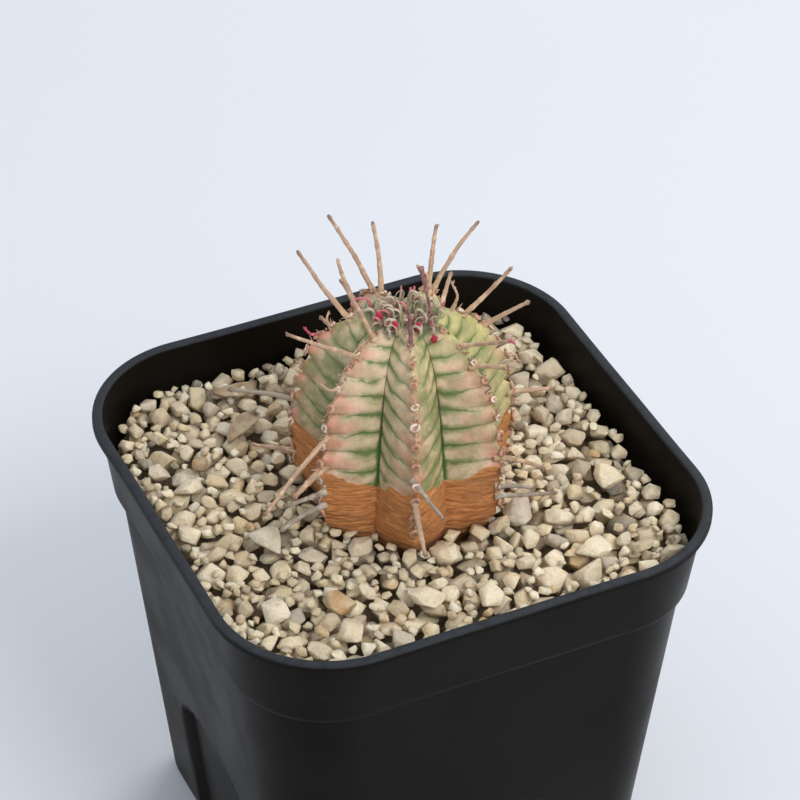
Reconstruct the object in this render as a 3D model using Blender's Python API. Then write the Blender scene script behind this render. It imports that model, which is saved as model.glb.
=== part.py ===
"""A small ribbed euphorbia in a square plastic nursery pot, top-dressed with quartz grit.

Metres, +Z up.  The origin is the centre of the pot's underside and the pot's walls run along X and Y.
"""
import math
import random

import bmesh
import bpy
from mathutils import Matrix, Vector

MM = 0.001

# Pot
RIM_WIDTH = 90.0 * MM
POT_HEIGHT = 86.0 * MM
FOOT_WIDTH = 65.0 * MM
RIM_CORNER = 21.0 * MM
FOOT_CORNER = 7.0 * MM
WALL = 0.8 * MM
FLOOR = 1.2 * MM
LIP_HEIGHT = 1.3 * MM
LIP_OVERHANG = 1.1 * MM
LIP_ROUND = 0.35 * MM
COLLAR_HEIGHT = 15.0 * MM
COLLAR_DRAFT = 2.1 * MM
STEP_INSET = 1.3 * MM
STEP_HEIGHT = 1.0 * MM
FOOT_ROUND = 0.8 * MM
CORNER_STEPS = 8

# Arched recess at the foot of each wall, and the drain holes in the floor
RECESS_WIDTH = 29.0 * MM
RECESS_HEIGHT = 33.0 * MM
RECESS_ARCH = 8.0 * MM
RECESS_DEPTH = 1.6 * MM
RECESS_ARCH_STEPS = 10
DRAIN_RADIUS = 4.0 * MM
DRAIN_RING = 20.0 * MM
DRAIN_COUNT = 8
DRAIN_SEGMENTS = 16
DRILL_DEPTH = 4.8 * MM

# Filling
GAP = 0.3 * MM
GRAVEL_BELOW_RIM = 8.5 * MM
GRAVEL_DEPTH = 14.0 * MM

# Stem: outlines run from the root's end to the middle of the crown, as heights above the gravel and radii
RIB_COUNT = 7
STEM_CENTRE = Vector((0.9 * MM, -0.4 * MM, 0.0))
FRONT_RIB = math.radians(250.5)
RIB_OUTLINE = (
    (-22.0, 0.0), (-19.0, 4.5), (-10.0, 9.5), (-2.0, 14.3), (5.0, 18.2), (12.5, 18.8),
    (20.5, 18.1), (28.0, 16.4), (34.0, 12.8), (38.0, 7.6), (39.0, 3.2), (37.8, 0.0),
)
VALLEY_OUTLINE = (
    (-22.0, 0.0), (-19.0, 4.5), (-10.0, 9.3), (-2.0, 12.8), (5.0, 13.6), (12.5, 12.9),
    (20.5, 11.7), (28.0, 10.3), (33.6, 8.6), (37.2, 5.8), (38.4, 2.8), (37.8, 0.0),
)
STEM_ROWS = 30
STEM_SEGMENTS = RIB_COUNT * 8
FLANK_FULLNESS = 0.09
POLE_SHARE = 1e-4
SEAT_SHARES = (0.2, 0.9)
SEAT_HALVINGS = 40
SEAT_STEP = 0.01
CROWN_SAMPLES = 200
CROWN_SHARE = 0.75

# Dried flower stalks: rib, height on the rib, length (mm), lift above level and swing from the rib (degrees)
SPINES = (
    (4, 36.3, 14.5, 47, 18), (4, 38.0, 11.5, 62, -15), (3, 36.0, 10.5, 55, 8), (3, 33.5, 14.0, 39, -24),
    (5, 36.8, 14.5, 56, -4), (6, 38.0, 15.5, 66, -6), (1.5, 38.9, 8.8, 79, -174), (2, 36.2, 11.0, 48, -7),
    (2, 33.0, 8.5, 33, -18), (6, 35.6, 17.0, 38, -9), (1, 36.2, 12.5, 33, -11), (0, 38.2, 10.5, 66, -14),
    (6, 21.8, 16.5, -20, 8), (6, 16.2, 7.5, -10, 8), (1, 16.8, 8.2, 7, 3), (6, 11.2, 7.0, 2, -14),
    (6, 8.4, 8.5, -5, -4), (1, 10.9, 5.7, 8, 17), (1, 8.6, 9.5, 6, 32), (0, 18.0, 7.5, -22, 35),
    (0, 13.5, 8.5, -40, 10), (2, 17.5, 7.8, -8, 0), (5, 18.5, 11.0, 5, 0), (5, 7.5, 6.6, 3, 0),
    (2, 25.4, 4.0, 15, -13), (1, 33.4, 6.5, 22, -5), (1, 30.6, 3.0, 5, -10), (2, 37.8, 5.5, 66, 10),
    (5, 34.6, 3.0, 66, -8), (5, 32.6, 3.6, 15, 35), (3, 37.6, 5.0, 52, -20), (6, 31.0, 3.2, 5, -10),
    (4, 30.0, 9.0, 25, -8), (3, 26.0, 9.5, 12, 8), (4, 20.0, 8.0, 4, 6), (3, 16.0, 7.0, 0, -6),
)
SPINE_RADIUS = 0.50 * MM
SPINE_TIP_SHARE = 0.35
SPINE_POINTS = 7
SPINE_BOW = 0.03
SPINE_BOW_TURNS = (2.3, 1.7)
SPINE_ROUNDNESS = 2

# Buds: rib and height; the dried tuft sits over the middle of the crown
BUDS = ((6.44, 38.9), (0.37, 38.85), (0.63, 37.7))
BUD_RADIUS = 0.9 * MM
BUD_STRETCH = 1.3
TUFT_RADIUS = 2.8 * MM
TUFT_HEIGHT = 2.6 * MM
TUFT_CUT = -0.15

# Larger stones lying on the gravel: x, y, width, height (mm)
PEBBLES = (
    (0.0, -19.8, 7.0, 3.6), (15.4, -15.6, 6.6, 3.8), (23.0, -29.0, 7.8, 4.2), (-8.5, -29.5, 7.6, 3.8),
    (2.0, -33.0, 6.0, 3.2), (-32.0, -21.5, 6.2, 3.4), (-22.0, -24.0, 6.0, 3.0), (-23.0, -31.5, 6.4, 3.4),
    (-33.0, 14.0, 6.6, 3.8), (21.0, -19.0, 6.2, 3.4), (-26.5, -5.0, 6.8, 3.6), (33.0, -14.0, 6.8, 3.8),
    (32.0, 24.0, 6.2, 3.6),
)
PEBBLE_CORNERS = 26
PEBBLE_SEED = 100
PEBBLE_ROUGHNESS = 0.14
PEBBLE_BREADTH = 0.8
FLAKES = ((-19.0, 23.0, 35.0, 9.0, 3.4), (-16.0, 34.0, -10.0, 8.0, 3.0))
FLAKE_THICKNESS = 0.5 * MM
FLAKE_POINTS = 16
FLAKE_TAPER = 0.25

TOP = POT_HEIGHT
GRAVEL_TOP = TOP - GRAVEL_BELOW_RIM
GRAVEL_FOOT = GRAVEL_TOP - GRAVEL_DEPTH
COLLAR_FOOT = TOP - COLLAR_HEIGHT
BODY_TOP = COLLAR_FOOT - STEP_HEIGHT
RIM_HALF = RIM_WIDTH / 2
FOOT_HALF = FOOT_WIDTH / 2
COLLAR_TOP_HALF = RIM_HALF - LIP_OVERHANG
COLLAR_FOOT_HALF = COLLAR_TOP_HALF - COLLAR_DRAFT
BODY_TOP_HALF = COLLAR_FOOT_HALF - STEP_INSET
DRAFT = math.atan2(BODY_TOP_HALF - FOOT_HALF, BODY_TOP)
OVERCUT = 4.0 * MM


def clear_scene():
    """Remove every object that the scene starts with."""
    for item in list(bpy.data.objects):
        bpy.data.objects.remove(item, do_unlink=True)


def new_collection(name):
    """Make a collection under the scene's own one."""
    collection = bpy.data.collections.new(name)
    bpy.context.scene.collection.children.link(collection)
    return collection


def plain_material(name, colour, roughness):
    """Make a Principled material with one colour and one roughness."""
    material = bpy.data.materials.new(name)
    material.use_nodes = True
    shader = material.node_tree.nodes["Principled BSDF"]
    shader.inputs["Base Color"].default_value = (*colour, 1.0)
    shader.inputs["Roughness"].default_value = roughness
    shader.inputs["Metallic"].default_value = 0.0
    return material


def finish_mesh(bm, name, collection, material=None):
    """Write a bmesh to a new object in the collection, and give it its material."""
    mesh = bpy.data.meshes.new(name)
    bm.to_mesh(mesh)
    bm.free()
    item = bpy.data.objects.new(name, mesh)
    collection.objects.link(item)
    if material:
        mesh.materials.append(material)
    return item


def make_cutter(item):
    """Mark an object as a cutter, which is never rendered."""
    item.hide_render = True
    item.display_type = "WIRE"
    return item


def cut(item, cutter):
    """Subtract the cutter from the item."""
    modifier = item.modifiers.new("cut_" + cutter.name, "BOOLEAN")
    modifier.operation = "DIFFERENCE"
    modifier.solver = "EXACT"
    modifier.object = cutter


def blend_points(points, position):
    """Read a smooth curve through the points at a position between 0 and 1."""
    place = position * (len(points) - 1)
    index = min(int(place), len(points) - 2)
    share = place - index
    before = points[max(index - 1, 0)]
    start = points[index]
    end = points[index + 1]
    after = points[min(index + 2, len(points) - 1)]
    result = []
    for p0, p1, p2, p3 in zip(before, start, end, after):
        slope_in = (p2 - p0) / 2
        slope_out = (p3 - p1) / 2
        cube = 2 * share ** 3 - 3 * share ** 2 + 1
        ease = share ** 3 - 2 * share ** 2 + share
        rise = -2 * share ** 3 + 3 * share ** 2
        last = share ** 3 - share ** 2
        result.append(p1 * cube + slope_in * ease + p2 * rise + slope_out * last)
    return result


def corner_radius(half):
    """Corner radius of the pot's outer wall where its half width is given."""
    share = (half - FOOT_HALF) / (RIM_HALF - FOOT_HALF)
    return FOOT_CORNER + (RIM_CORNER - FOOT_CORNER) * share


def rounded_square(half, radius, height):
    """Points of a square with round corners, anticlockwise from above."""
    points = []
    for corner in range(4):
        turn = corner * math.pi / 2
        centre = Vector((half - radius, half - radius))
        for step in range(CORNER_STEPS + 1):
            angle = step / CORNER_STEPS * math.pi / 2
            x = centre.x + radius * math.cos(angle)
            y = centre.y + radius * math.sin(angle)
            across = x * math.cos(turn) - y * math.sin(turn)
            along = x * math.sin(turn) + y * math.cos(turn)
            points.append((across, along, height))
    return points


def loft(name, sections, collection, material=None):
    """Join rounded squares, given as (half width, corner radius, height) from the foot up, into a solid."""
    bm = bmesh.new()
    rings = []
    for half, radius, height in sections:
        rings.append([bm.verts.new(point) for point in rounded_square(half, radius, height)])
    for lower, upper in zip(rings, rings[1:]):
        for index in range(len(lower)):
            follow = (index + 1) % len(lower)
            bm.faces.new((lower[index], lower[follow], upper[follow], upper[index]))
    bm.faces.new(list(reversed(rings[0])))
    bm.faces.new(rings[-1])
    return finish_mesh(bm, name, collection, material)


def outer_half(height):
    """Half width of the pot's wall at a height, without its lip."""
    if height <= BODY_TOP:
        return FOOT_HALF + (BODY_TOP_HALF - FOOT_HALF) * height / BODY_TOP
    if height <= COLLAR_FOOT:
        share = (height - BODY_TOP) / STEP_HEIGHT
        return BODY_TOP_HALF + (COLLAR_FOOT_HALF - BODY_TOP_HALF) * share
    share = (height - COLLAR_FOOT) / COLLAR_HEIGHT
    return COLLAR_FOOT_HALF + (COLLAR_TOP_HALF - COLLAR_FOOT_HALF) * share


def inner_section(height, clearance):
    """Section of the pot's inside at a height, drawn in by a clearance."""
    half = outer_half(height)
    inset = WALL + clearance
    return (half - inset, corner_radius(half) - inset, height)


def inner_solid(name, low, high, clearance, collection, material=None):
    """Solid that fills the pot's inside between two heights."""
    bends = [height for height in (BODY_TOP, COLLAR_FOOT) if low + GAP < height < high - GAP]
    heights = [low] + bends + [high]
    sections = [inner_section(height, clearance) for height in heights]
    return loft(name, sections, collection, material)


def recess_cutter(name, side, grow, collection):
    """Arched prism that cuts one wall's foot recess, grown on all sides by a distance."""
    half = RECESS_WIDTH / 2 + grow
    shoulder = RECESS_HEIGHT - RECESS_ARCH
    arch = RECESS_ARCH + grow
    outline = [(-half, -OVERCUT), (half, -OVERCUT)]
    for step in range(RECESS_ARCH_STEPS + 1):
        angle = step / RECESS_ARCH_STEPS * math.pi
        outline.append((half * math.cos(angle), shoulder + arch * math.sin(angle)))
    depth = RECESS_DEPTH + grow
    bm = bmesh.new()
    face = bm.faces.new([bm.verts.new((-depth, across, up)) for across, up in outline])
    result = bmesh.ops.extrude_face_region(bm, geom=[face])
    moved = [item for item in result["geom"] if isinstance(item, bmesh.types.BMVert)]
    bmesh.ops.translate(bm, verts=moved, vec=(depth + 2 * OVERCUT, 0.0, 0.0))
    bmesh.ops.recalc_face_normals(bm, faces=bm.faces)
    place = Matrix.Rotation(side * math.pi / 2, 4, "Z")
    place @= Matrix.Translation((FOOT_HALF, 0.0, 0.0)) @ Matrix.Rotation(DRAFT, 4, "Y")
    bmesh.ops.transform(bm, matrix=place, verts=bm.verts)
    return make_cutter(finish_mesh(bm, name, collection))


def add_recesses(item, grow, cutters):
    """Cut the four foot recesses into an item."""
    for side in range(4):
        cut(item, recess_cutter(f"{item.name}_recess_{side}", side, grow, cutters))


def build_pot(parts, cutters, material):
    """Pot with its lip, collar, step, arched recesses and drain holes."""
    outer = [
        (FOOT_HALF - FOOT_ROUND, FOOT_CORNER, 0.0),
        (outer_half(FOOT_ROUND), FOOT_CORNER, FOOT_ROUND),
        (BODY_TOP_HALF, corner_radius(BODY_TOP_HALF), BODY_TOP),
        (COLLAR_FOOT_HALF, corner_radius(COLLAR_FOOT_HALF), COLLAR_FOOT),
    ]
    under_lip = TOP - LIP_HEIGHT
    half = outer_half(under_lip)
    outer.append((half, corner_radius(half), under_lip))
    outer.append((RIM_HALF, RIM_CORNER, under_lip))
    outer.append((RIM_HALF, RIM_CORNER, TOP - LIP_ROUND))
    outer.append((RIM_HALF - LIP_ROUND, RIM_CORNER - LIP_ROUND, TOP))
    pot = loft("pot", outer, parts, material)
    add_recesses(pot, 0.0, cutters)
    inside = inner_solid("pot_inside", FLOOR, TOP + OVERCUT, 0.0, cutters)
    add_recesses(make_cutter(inside), WALL, cutters)
    cut(pot, inside)
    for index in range(DRAIN_COUNT):
        angle = (index + 0.5) * 2 * math.pi / DRAIN_COUNT
        bm = bmesh.new()
        bmesh.ops.create_cone(bm, cap_ends=True, segments=DRAIN_SEGMENTS, radius1=DRAIN_RADIUS,
                              radius2=DRAIN_RADIUS, depth=DRILL_DEPTH)
        place = (DRAIN_RING * math.cos(angle), DRAIN_RING * math.sin(angle), 0.0)
        bmesh.ops.translate(bm, verts=bm.verts, vec=place)
        cut(pot, make_cutter(finish_mesh(bm, f"drain_{index}", cutters)))
    return pot


def stem_row(position):
    """Rib radius, rib height, valley radius and valley height at a share of the way up the outline."""
    rib_height, rib_radius = blend_points(RIB_OUTLINE, position)
    valley_height, valley_radius = blend_points(VALLEY_OUTLINE, position)
    rib = (max(rib_radius, 0.0) * MM, GRAVEL_TOP + rib_height * MM)
    valley = (max(valley_radius, 0.0) * MM, GRAVEL_TOP + valley_height * MM)
    return rib, valley


def stem_point(position, angle, grow):
    """Point of the stem's skin at a share of the way up and an angle, grown outwards."""
    rib, valley = stem_row(position)
    pitch = 2 * math.pi / RIB_COUNT
    offset = (angle - FRONT_RIB + pitch / 2) % pitch - pitch / 2
    share = abs(offset) / (pitch / 2)
    radius = 0.0
    if rib[0] > 0 and valley[0] > 0:
        flat = 1 / ((1 - share) / rib[0] + share / valley[0])
        radius = flat + FLANK_FULLNESS * (rib[0] - valley[0]) * math.sin(math.pi * share)
    height = rib[1] + (valley[1] - rib[1]) * share
    out = radius + grow
    return STEM_CENTRE + Vector((out * math.cos(angle), out * math.sin(angle), height))


def build_stem(name, grow, collection, material=None):
    """Ribbed stem with its root, shaped from a sphere's rows; a cutter for its socket is a grown copy."""
    bm = bmesh.new()
    bmesh.ops.create_uvsphere(bm, u_segments=STEM_SEGMENTS, v_segments=STEM_ROWS, radius=1.0)
    for vert in bm.verts:
        position = 1 - math.acos(max(-1.0, min(1.0, vert.co.z))) / math.pi
        pole = position < POLE_SHARE or position > 1 - POLE_SHARE
        angle = math.atan2(vert.co.y, vert.co.x) + FRONT_RIB
        vert.co = stem_point(position, angle, 0.0 if pole else grow)
        if pole:
            vert.co.z += grow if position > 0.5 else -grow
    bmesh.ops.recalc_face_normals(bm, faces=bm.faces)
    return finish_mesh(bm, name, collection, material)


def rib_seat(rib, height):
    """Point on a rib's edge at a height above the gravel, and the skin's outward direction there."""
    low, high = SEAT_SHARES
    target = GRAVEL_TOP + height * MM
    for _ in range(SEAT_HALVINGS):
        middle = (low + high) / 2
        if stem_row(middle)[0][1] < target:
            low = middle
        else:
            high = middle
    angle = FRONT_RIB + rib * 2 * math.pi / RIB_COUNT
    point = stem_point(low, angle, 0.0)
    rise = stem_point(low + SEAT_STEP, angle, 0.0) - stem_point(low - SEAT_STEP, angle, 0.0)
    across = Vector((-math.sin(angle), math.cos(angle), 0.0))
    return point, across.cross(rise).normalized()


def build_spine(index, parts, material):
    """One dried stalk: a tapered tube that starts on its rib and bends a little."""
    rib, height, length, lift, swing = SPINES[index]
    seat, outward = rib_seat(rib, height)
    heading = FRONT_RIB + rib * 2 * math.pi / RIB_COUNT + math.radians(swing)
    rise = math.radians(lift)
    along = Vector((math.cos(rise) * math.cos(heading), math.cos(rise) * math.sin(heading), math.sin(rise)))
    side = along.cross(Vector((0.0, 0.0, 1.0))).normalized()
    over = math.cos(index * SPINE_BOW_TURNS[0])
    aside = math.sin(index * SPINE_BOW_TURNS[1])
    bow = (side.cross(along) * over + side * aside) * SPINE_BOW
    start = seat + outward * (SPINE_RADIUS + GAP)
    curve = bpy.data.curves.new(f"spine_{index + 1:02d}", "CURVE")
    curve.dimensions = "3D"
    curve.bevel_depth = SPINE_RADIUS
    curve.bevel_resolution = SPINE_ROUNDNESS
    curve.use_fill_caps = True
    spline = curve.splines.new("POLY")
    spline.points.add(SPINE_POINTS - 1)
    for step, point in enumerate(spline.points):
        share = step / (SPINE_POINTS - 1)
        reach = length * MM * share
        place = start + along * reach + bow * length * MM * share * (1 - share) * 4
        point.co = (*place, 1.0)
        point.radius = 1 - (1 - SPINE_TIP_SHARE) * share
    item = bpy.data.objects.new(curve.name, curve)
    curve.materials.append(material)
    parts.objects.link(item)
    return item


def build_bud(index, parts, material):
    """One small egg-shaped flower bud on a rib near the crown."""
    rib, height = BUDS[index]
    seat, outward = rib_seat(rib, height)
    bm = bmesh.new()
    bmesh.ops.create_icosphere(bm, subdivisions=2, radius=BUD_RADIUS)
    bmesh.ops.scale(bm, vec=(1.0, 1.0, BUD_STRETCH), verts=bm.verts)
    turn = Vector((0.0, 0.0, 1.0)).rotation_difference(outward).to_matrix().to_4x4()
    place = seat + outward * (BUD_STRETCH * BUD_RADIUS + GAP)
    bmesh.ops.transform(bm, matrix=Matrix.Translation(place) @ turn, verts=bm.verts)
    return finish_mesh(bm, f"bud_{index + 1}", parts, material)


def build_tuft(parts, material):
    """Low dome of dried remains over the middle of the crown."""
    bm = bmesh.new()
    bmesh.ops.create_icosphere(bm, subdivisions=3, radius=1.0)
    for vert in bm.verts:
        vert.co.z = max(vert.co.z, TUFT_CUT)
    bmesh.ops.scale(bm, vec=(TUFT_RADIUS, TUFT_RADIUS, TUFT_HEIGHT), verts=bm.verts)
    low = min(vert.co.z for vert in bm.verts)
    shares = [step / CROWN_SAMPLES for step in range(CROWN_SAMPLES)]
    crown = max(stem_point(share, FRONT_RIB, 0.0).z for share in shares if share >= CROWN_SHARE)
    place = STEM_CENTRE + Vector((0.0, 0.0, crown - low + GAP))
    bmesh.ops.translate(bm, verts=bm.verts, vec=place)
    return finish_mesh(bm, "crown_tuft", parts, material)


def build_pebble(index, parts, material):
    """One angular stone: the hull of points scattered on a flattened ball, laid on the gravel."""
    x, y, width, height = PEBBLES[index]
    source = random.Random(PEBBLE_SEED + index)
    bm = bmesh.new()
    for _ in range(PEBBLE_CORNERS):
        direction = Vector([source.gauss(0, 1) for _ in range(3)]).normalized()
        corner = direction * source.uniform(1.0 - PEBBLE_ROUGHNESS, 1.0)
        bm.verts.new((corner.x, corner.y * PEBBLE_BREADTH, corner.z))
    bmesh.ops.convex_hull(bm, input=bm.verts)
    loose = [vert for vert in bm.verts if not vert.link_faces]
    bmesh.ops.delete(bm, geom=loose, context="VERTS")
    bmesh.ops.scale(bm, vec=(width * MM / 2, width * MM / 2, height * MM / 2), verts=bm.verts)
    turn = Matrix.Rotation(source.uniform(0, math.pi), 4, "Z")
    bmesh.ops.transform(bm, matrix=turn, verts=bm.verts)
    low = min(vert.co.z for vert in bm.verts)
    bmesh.ops.translate(bm, verts=bm.verts, vec=(x * MM, y * MM, GRAVEL_TOP + GAP - low))
    bmesh.ops.recalc_face_normals(bm, faces=bm.faces)
    return finish_mesh(bm, f"pebble_{index + 1:02d}", parts, material)


def build_flake(index, parts, material):
    """One dry leaf flake, pointed at both ends, lying on the gravel."""
    x, y, turn, length, width = FLAKES[index]
    curve = bpy.data.curves.new(f"leaf_flake_{index + 1}", "CURVE")
    curve.dimensions = "2D"
    curve.fill_mode = "BOTH"
    curve.extrude = FLAKE_THICKNESS / 2
    spline = curve.splines.new("POLY")
    spline.points.add(FLAKE_POINTS - 1)
    for step, point in enumerate(spline.points):
        angle = step / FLAKE_POINTS * 2 * math.pi
        fullness = 1 - FLAKE_TAPER + FLAKE_TAPER * math.cos(angle)
        across = math.sin(angle) * fullness * width * MM / 2
        point.co = (math.cos(angle) * length * MM / 2, across, 0.0, 1.0)
    spline.use_cyclic_u = True
    curve.materials.append(material)
    item = bpy.data.objects.new(curve.name, curve)
    item.location = (x * MM, y * MM, GRAVEL_TOP + GAP + FLAKE_THICKNESS / 2)
    item.rotation_euler = (0.0, 0.0, math.radians(turn))
    parts.objects.link(item)
    return item


def build_filling(parts, cutters, soil_material, gravel_material):
    """Soil and gravel that fill the pot, each with a socket for the stem."""
    soil = inner_solid("potting_soil", FLOOR + GAP, GRAVEL_FOOT - GAP, GAP, parts, soil_material)
    add_recesses(soil, WALL + GAP, cutters)
    gravel = inner_solid("gravel_layer", GRAVEL_FOOT, GRAVEL_TOP, GAP, parts, gravel_material)
    socket = make_cutter(build_stem("stem_socket", GAP, cutters))
    cut(soil, socket)
    cut(gravel, socket)


def main():
    """Build the whole object."""
    clear_scene()
    parts = new_collection("potted_euphorbia")
    cutters = new_collection("potted_euphorbia_cutters")
    black_plastic = plain_material("black_plastic", (0.012, 0.012, 0.014), 0.45)
    soil = plain_material("potting_soil", (0.05, 0.032, 0.02), 0.95)
    gravel = plain_material("quartz_gravel", (0.60, 0.54, 0.43), 0.7)
    flesh = plain_material("stem_skin", (0.62, 0.60, 0.38), 0.5)
    dry_stalk = plain_material("dry_stalk", (0.50, 0.36, 0.28), 0.8)
    crimson = plain_material("flower_bud", (0.50, 0.02, 0.06), 0.5)
    dry_leaf = plain_material("dry_leaf", (0.36, 0.24, 0.14), 0.9)
    build_pot(parts, cutters, black_plastic)
    build_filling(parts, cutters, soil, gravel)
    stem = build_stem("stem", 0.0, parts, flesh)
    stem.data.shade_smooth()
    for index in range(len(SPINES)):
        build_spine(index, parts, dry_stalk)
    for index in range(len(BUDS)):
        build_bud(index, parts, crimson)
    build_tuft(parts, dry_stalk)
    for index in range(len(PEBBLES)):
        build_pebble(index, parts, gravel)
    for index in range(len(FLAKES)):
        build_flake(index, parts, dry_leaf)


main()
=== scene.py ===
"""Looks of a small ribbed euphorbia in a square nursery pot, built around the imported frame.

Every length is in metres unless its name ends in _mm.
"""
import logging
import math
import random
from dataclasses import dataclass, field
from enum import Enum
from typing import Callable, Iterable, Sequence

import bmesh
import bpy
import numpy as np
from mathutils import Matrix, Vector, noise


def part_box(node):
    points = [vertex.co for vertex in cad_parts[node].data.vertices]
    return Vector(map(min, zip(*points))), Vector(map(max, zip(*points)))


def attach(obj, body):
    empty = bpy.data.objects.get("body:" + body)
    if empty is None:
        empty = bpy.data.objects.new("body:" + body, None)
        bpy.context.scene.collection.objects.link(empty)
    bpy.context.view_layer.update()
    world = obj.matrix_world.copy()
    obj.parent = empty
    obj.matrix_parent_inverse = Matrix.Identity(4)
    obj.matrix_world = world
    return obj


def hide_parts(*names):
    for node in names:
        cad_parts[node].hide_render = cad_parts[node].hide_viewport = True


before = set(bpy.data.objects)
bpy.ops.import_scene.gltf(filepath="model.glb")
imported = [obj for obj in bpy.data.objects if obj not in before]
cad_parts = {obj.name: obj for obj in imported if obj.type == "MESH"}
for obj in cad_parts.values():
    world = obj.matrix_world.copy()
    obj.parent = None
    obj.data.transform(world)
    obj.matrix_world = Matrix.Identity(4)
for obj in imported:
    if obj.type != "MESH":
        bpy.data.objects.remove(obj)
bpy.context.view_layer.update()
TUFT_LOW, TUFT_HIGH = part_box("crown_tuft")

LOG = logging.getLogger("potted_euphorbia")
MM = 0.001
BODY = "root"
UP = Vector((0.0, 0.0, 1.0))
NOISE_SEED = 1
TUFT_MM = tuple(round(part / MM, 2) for part in (TUFT_LOW + TUFT_HIGH) / 2)
AXIS_MM = TUFT_MM[:2]
GRIT_TOP_MM = round(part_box("gravel_layer")[1].z / MM, 2)
POT_HEIGHT_MM = round(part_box("pot")[1].z / MM, 2)
RIM_WIDTH_MM = round((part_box("pot")[1].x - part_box("pot")[0].x) / MM, 2)

Colour = tuple[float, float, float]
Triple = tuple[float, float, float]
Path = Sequence[Vector]
Socket = bpy.types.NodeSocket
Material = bpy.types.Material
BMesh = bmesh.types.BMesh


# ----------------------------------------------------------------------------------------------
# Mesh helpers


def smooth_step(low: float, high: float, value: float) -> float:
    """Ease from 0 at low to 1 at high.

    Args:
        low: value where the result is 0.
        high: value where the result is 1.
        value: value to ease.

    Returns:
        The eased share, between 0 and 1.
    """
    share = min(1.0, max(0.0, (value - low) / (high - low)))
    return share * share * (3 - 2 * share)


def curve_at(points: Sequence[Sequence[float]], position: float) -> list[float]:
    """Read a smooth curve through points at a position between 0 and 1.

    Args:
        points: the curve's points, all of the same length.
        position: share of the way along them.

    Returns:
        The coordinates at that position.
    """
    place = position * (len(points) - 1)
    index = min(int(place), len(points) - 2)
    share = place - index
    before = points[max(index - 1, 0)]
    after = points[min(index + 2, len(points) - 1)]
    result = []
    for p0, p1, p2, p3 in zip(before, points[index], points[index + 1], after):
        rise = 3 * share ** 2 - 2 * share ** 3
        slope_in = (p2 - p0) / 2 * (share ** 3 - 2 * share ** 2 + share)
        slope_out = (p3 - p1) / 2 * (share ** 3 - share ** 2)
        result.append(p1 * (1 - rise) + p2 * rise + slope_in + slope_out)
    return result


def write_object(bm: BMesh, name: str) -> bpy.types.Object:
    """Write a bmesh to a new object of the scene.

    Args:
        bm: the mesh, already in place; it is freed.
        name: name of the object and of its mesh.

    Returns:
        The new object.
    """
    mesh = bpy.data.meshes.new(name)
    bm.to_mesh(mesh)
    bm.free()
    made = bpy.data.objects.new(name, mesh)
    bpy.context.scene.collection.objects.link(made)
    return made


def seat_piece(bm: BMesh, name: str, material: Material,
               nodes: Iterable[str] = (), smooth: bool = True) -> bpy.types.Object:
    """Write a bmesh to a finished piece that rides on the object's body.

    Args:
        bm: the mesh, already in place; it is freed.
        name: the piece's name.
        material: its finish.
        nodes: CAD nodes that the piece stands for.
        smooth: whether its faces are shaded smooth.

    Returns:
        The new object.
    """
    piece = write_object(bm, name)
    if smooth:
        piece.data.shade_smooth()
    piece.data.materials.append(material)
    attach(piece, BODY)
    for node in nodes:
        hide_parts(node)
    LOG.info("%s: %d faces", name, len(piece.data.polygons))
    return piece


def extrude_ring(bm: BMesh, edges: list[bmesh.types.BMEdge],
                 place: Callable[[int], Vector]) -> list[bmesh.types.BMEdge]:
    """Extrude a closed ring of edges once and put each new vertex in its place.

    Args:
        bm: the mesh, whose vertices carry their number round the ring in the layer "turn".
        edges: the ring's edges.
        place: gives the new place of a vertex from its number.

    Returns:
        The new ring's edges.
    """
    turn = bm.verts.layers.int["turn"]
    made = bmesh.ops.extrude_edge_only(bm, edges=edges)["geom"]
    for vert in made:
        if isinstance(vert, bmesh.types.BMVert):
            vert.co = place(vert[turn])
    return [edge for edge in made if isinstance(edge, bmesh.types.BMEdge)]


def start_ring(bm: BMesh, count: int,
               place: Callable[[int], Vector]) -> list[bmesh.types.BMEdge]:
    """Make a closed ring of vertices and number them in the layer "turn".

    Args:
        bm: the mesh.
        count: vertices round the ring.
        place: gives the place of a vertex from its number.

    Returns:
        The ring's edges.
    """
    turn = bm.verts.layers.int.get("turn") or bm.verts.layers.int.new("turn")
    verts = bmesh.ops.create_circle(bm, segments=count, radius=1.0)["verts"]
    edges = list({edge for vert in verts for edge in vert.link_edges})
    for number, vert in enumerate(verts):
        vert[turn] = number
        vert.co = place(number)
    return edges


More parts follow.
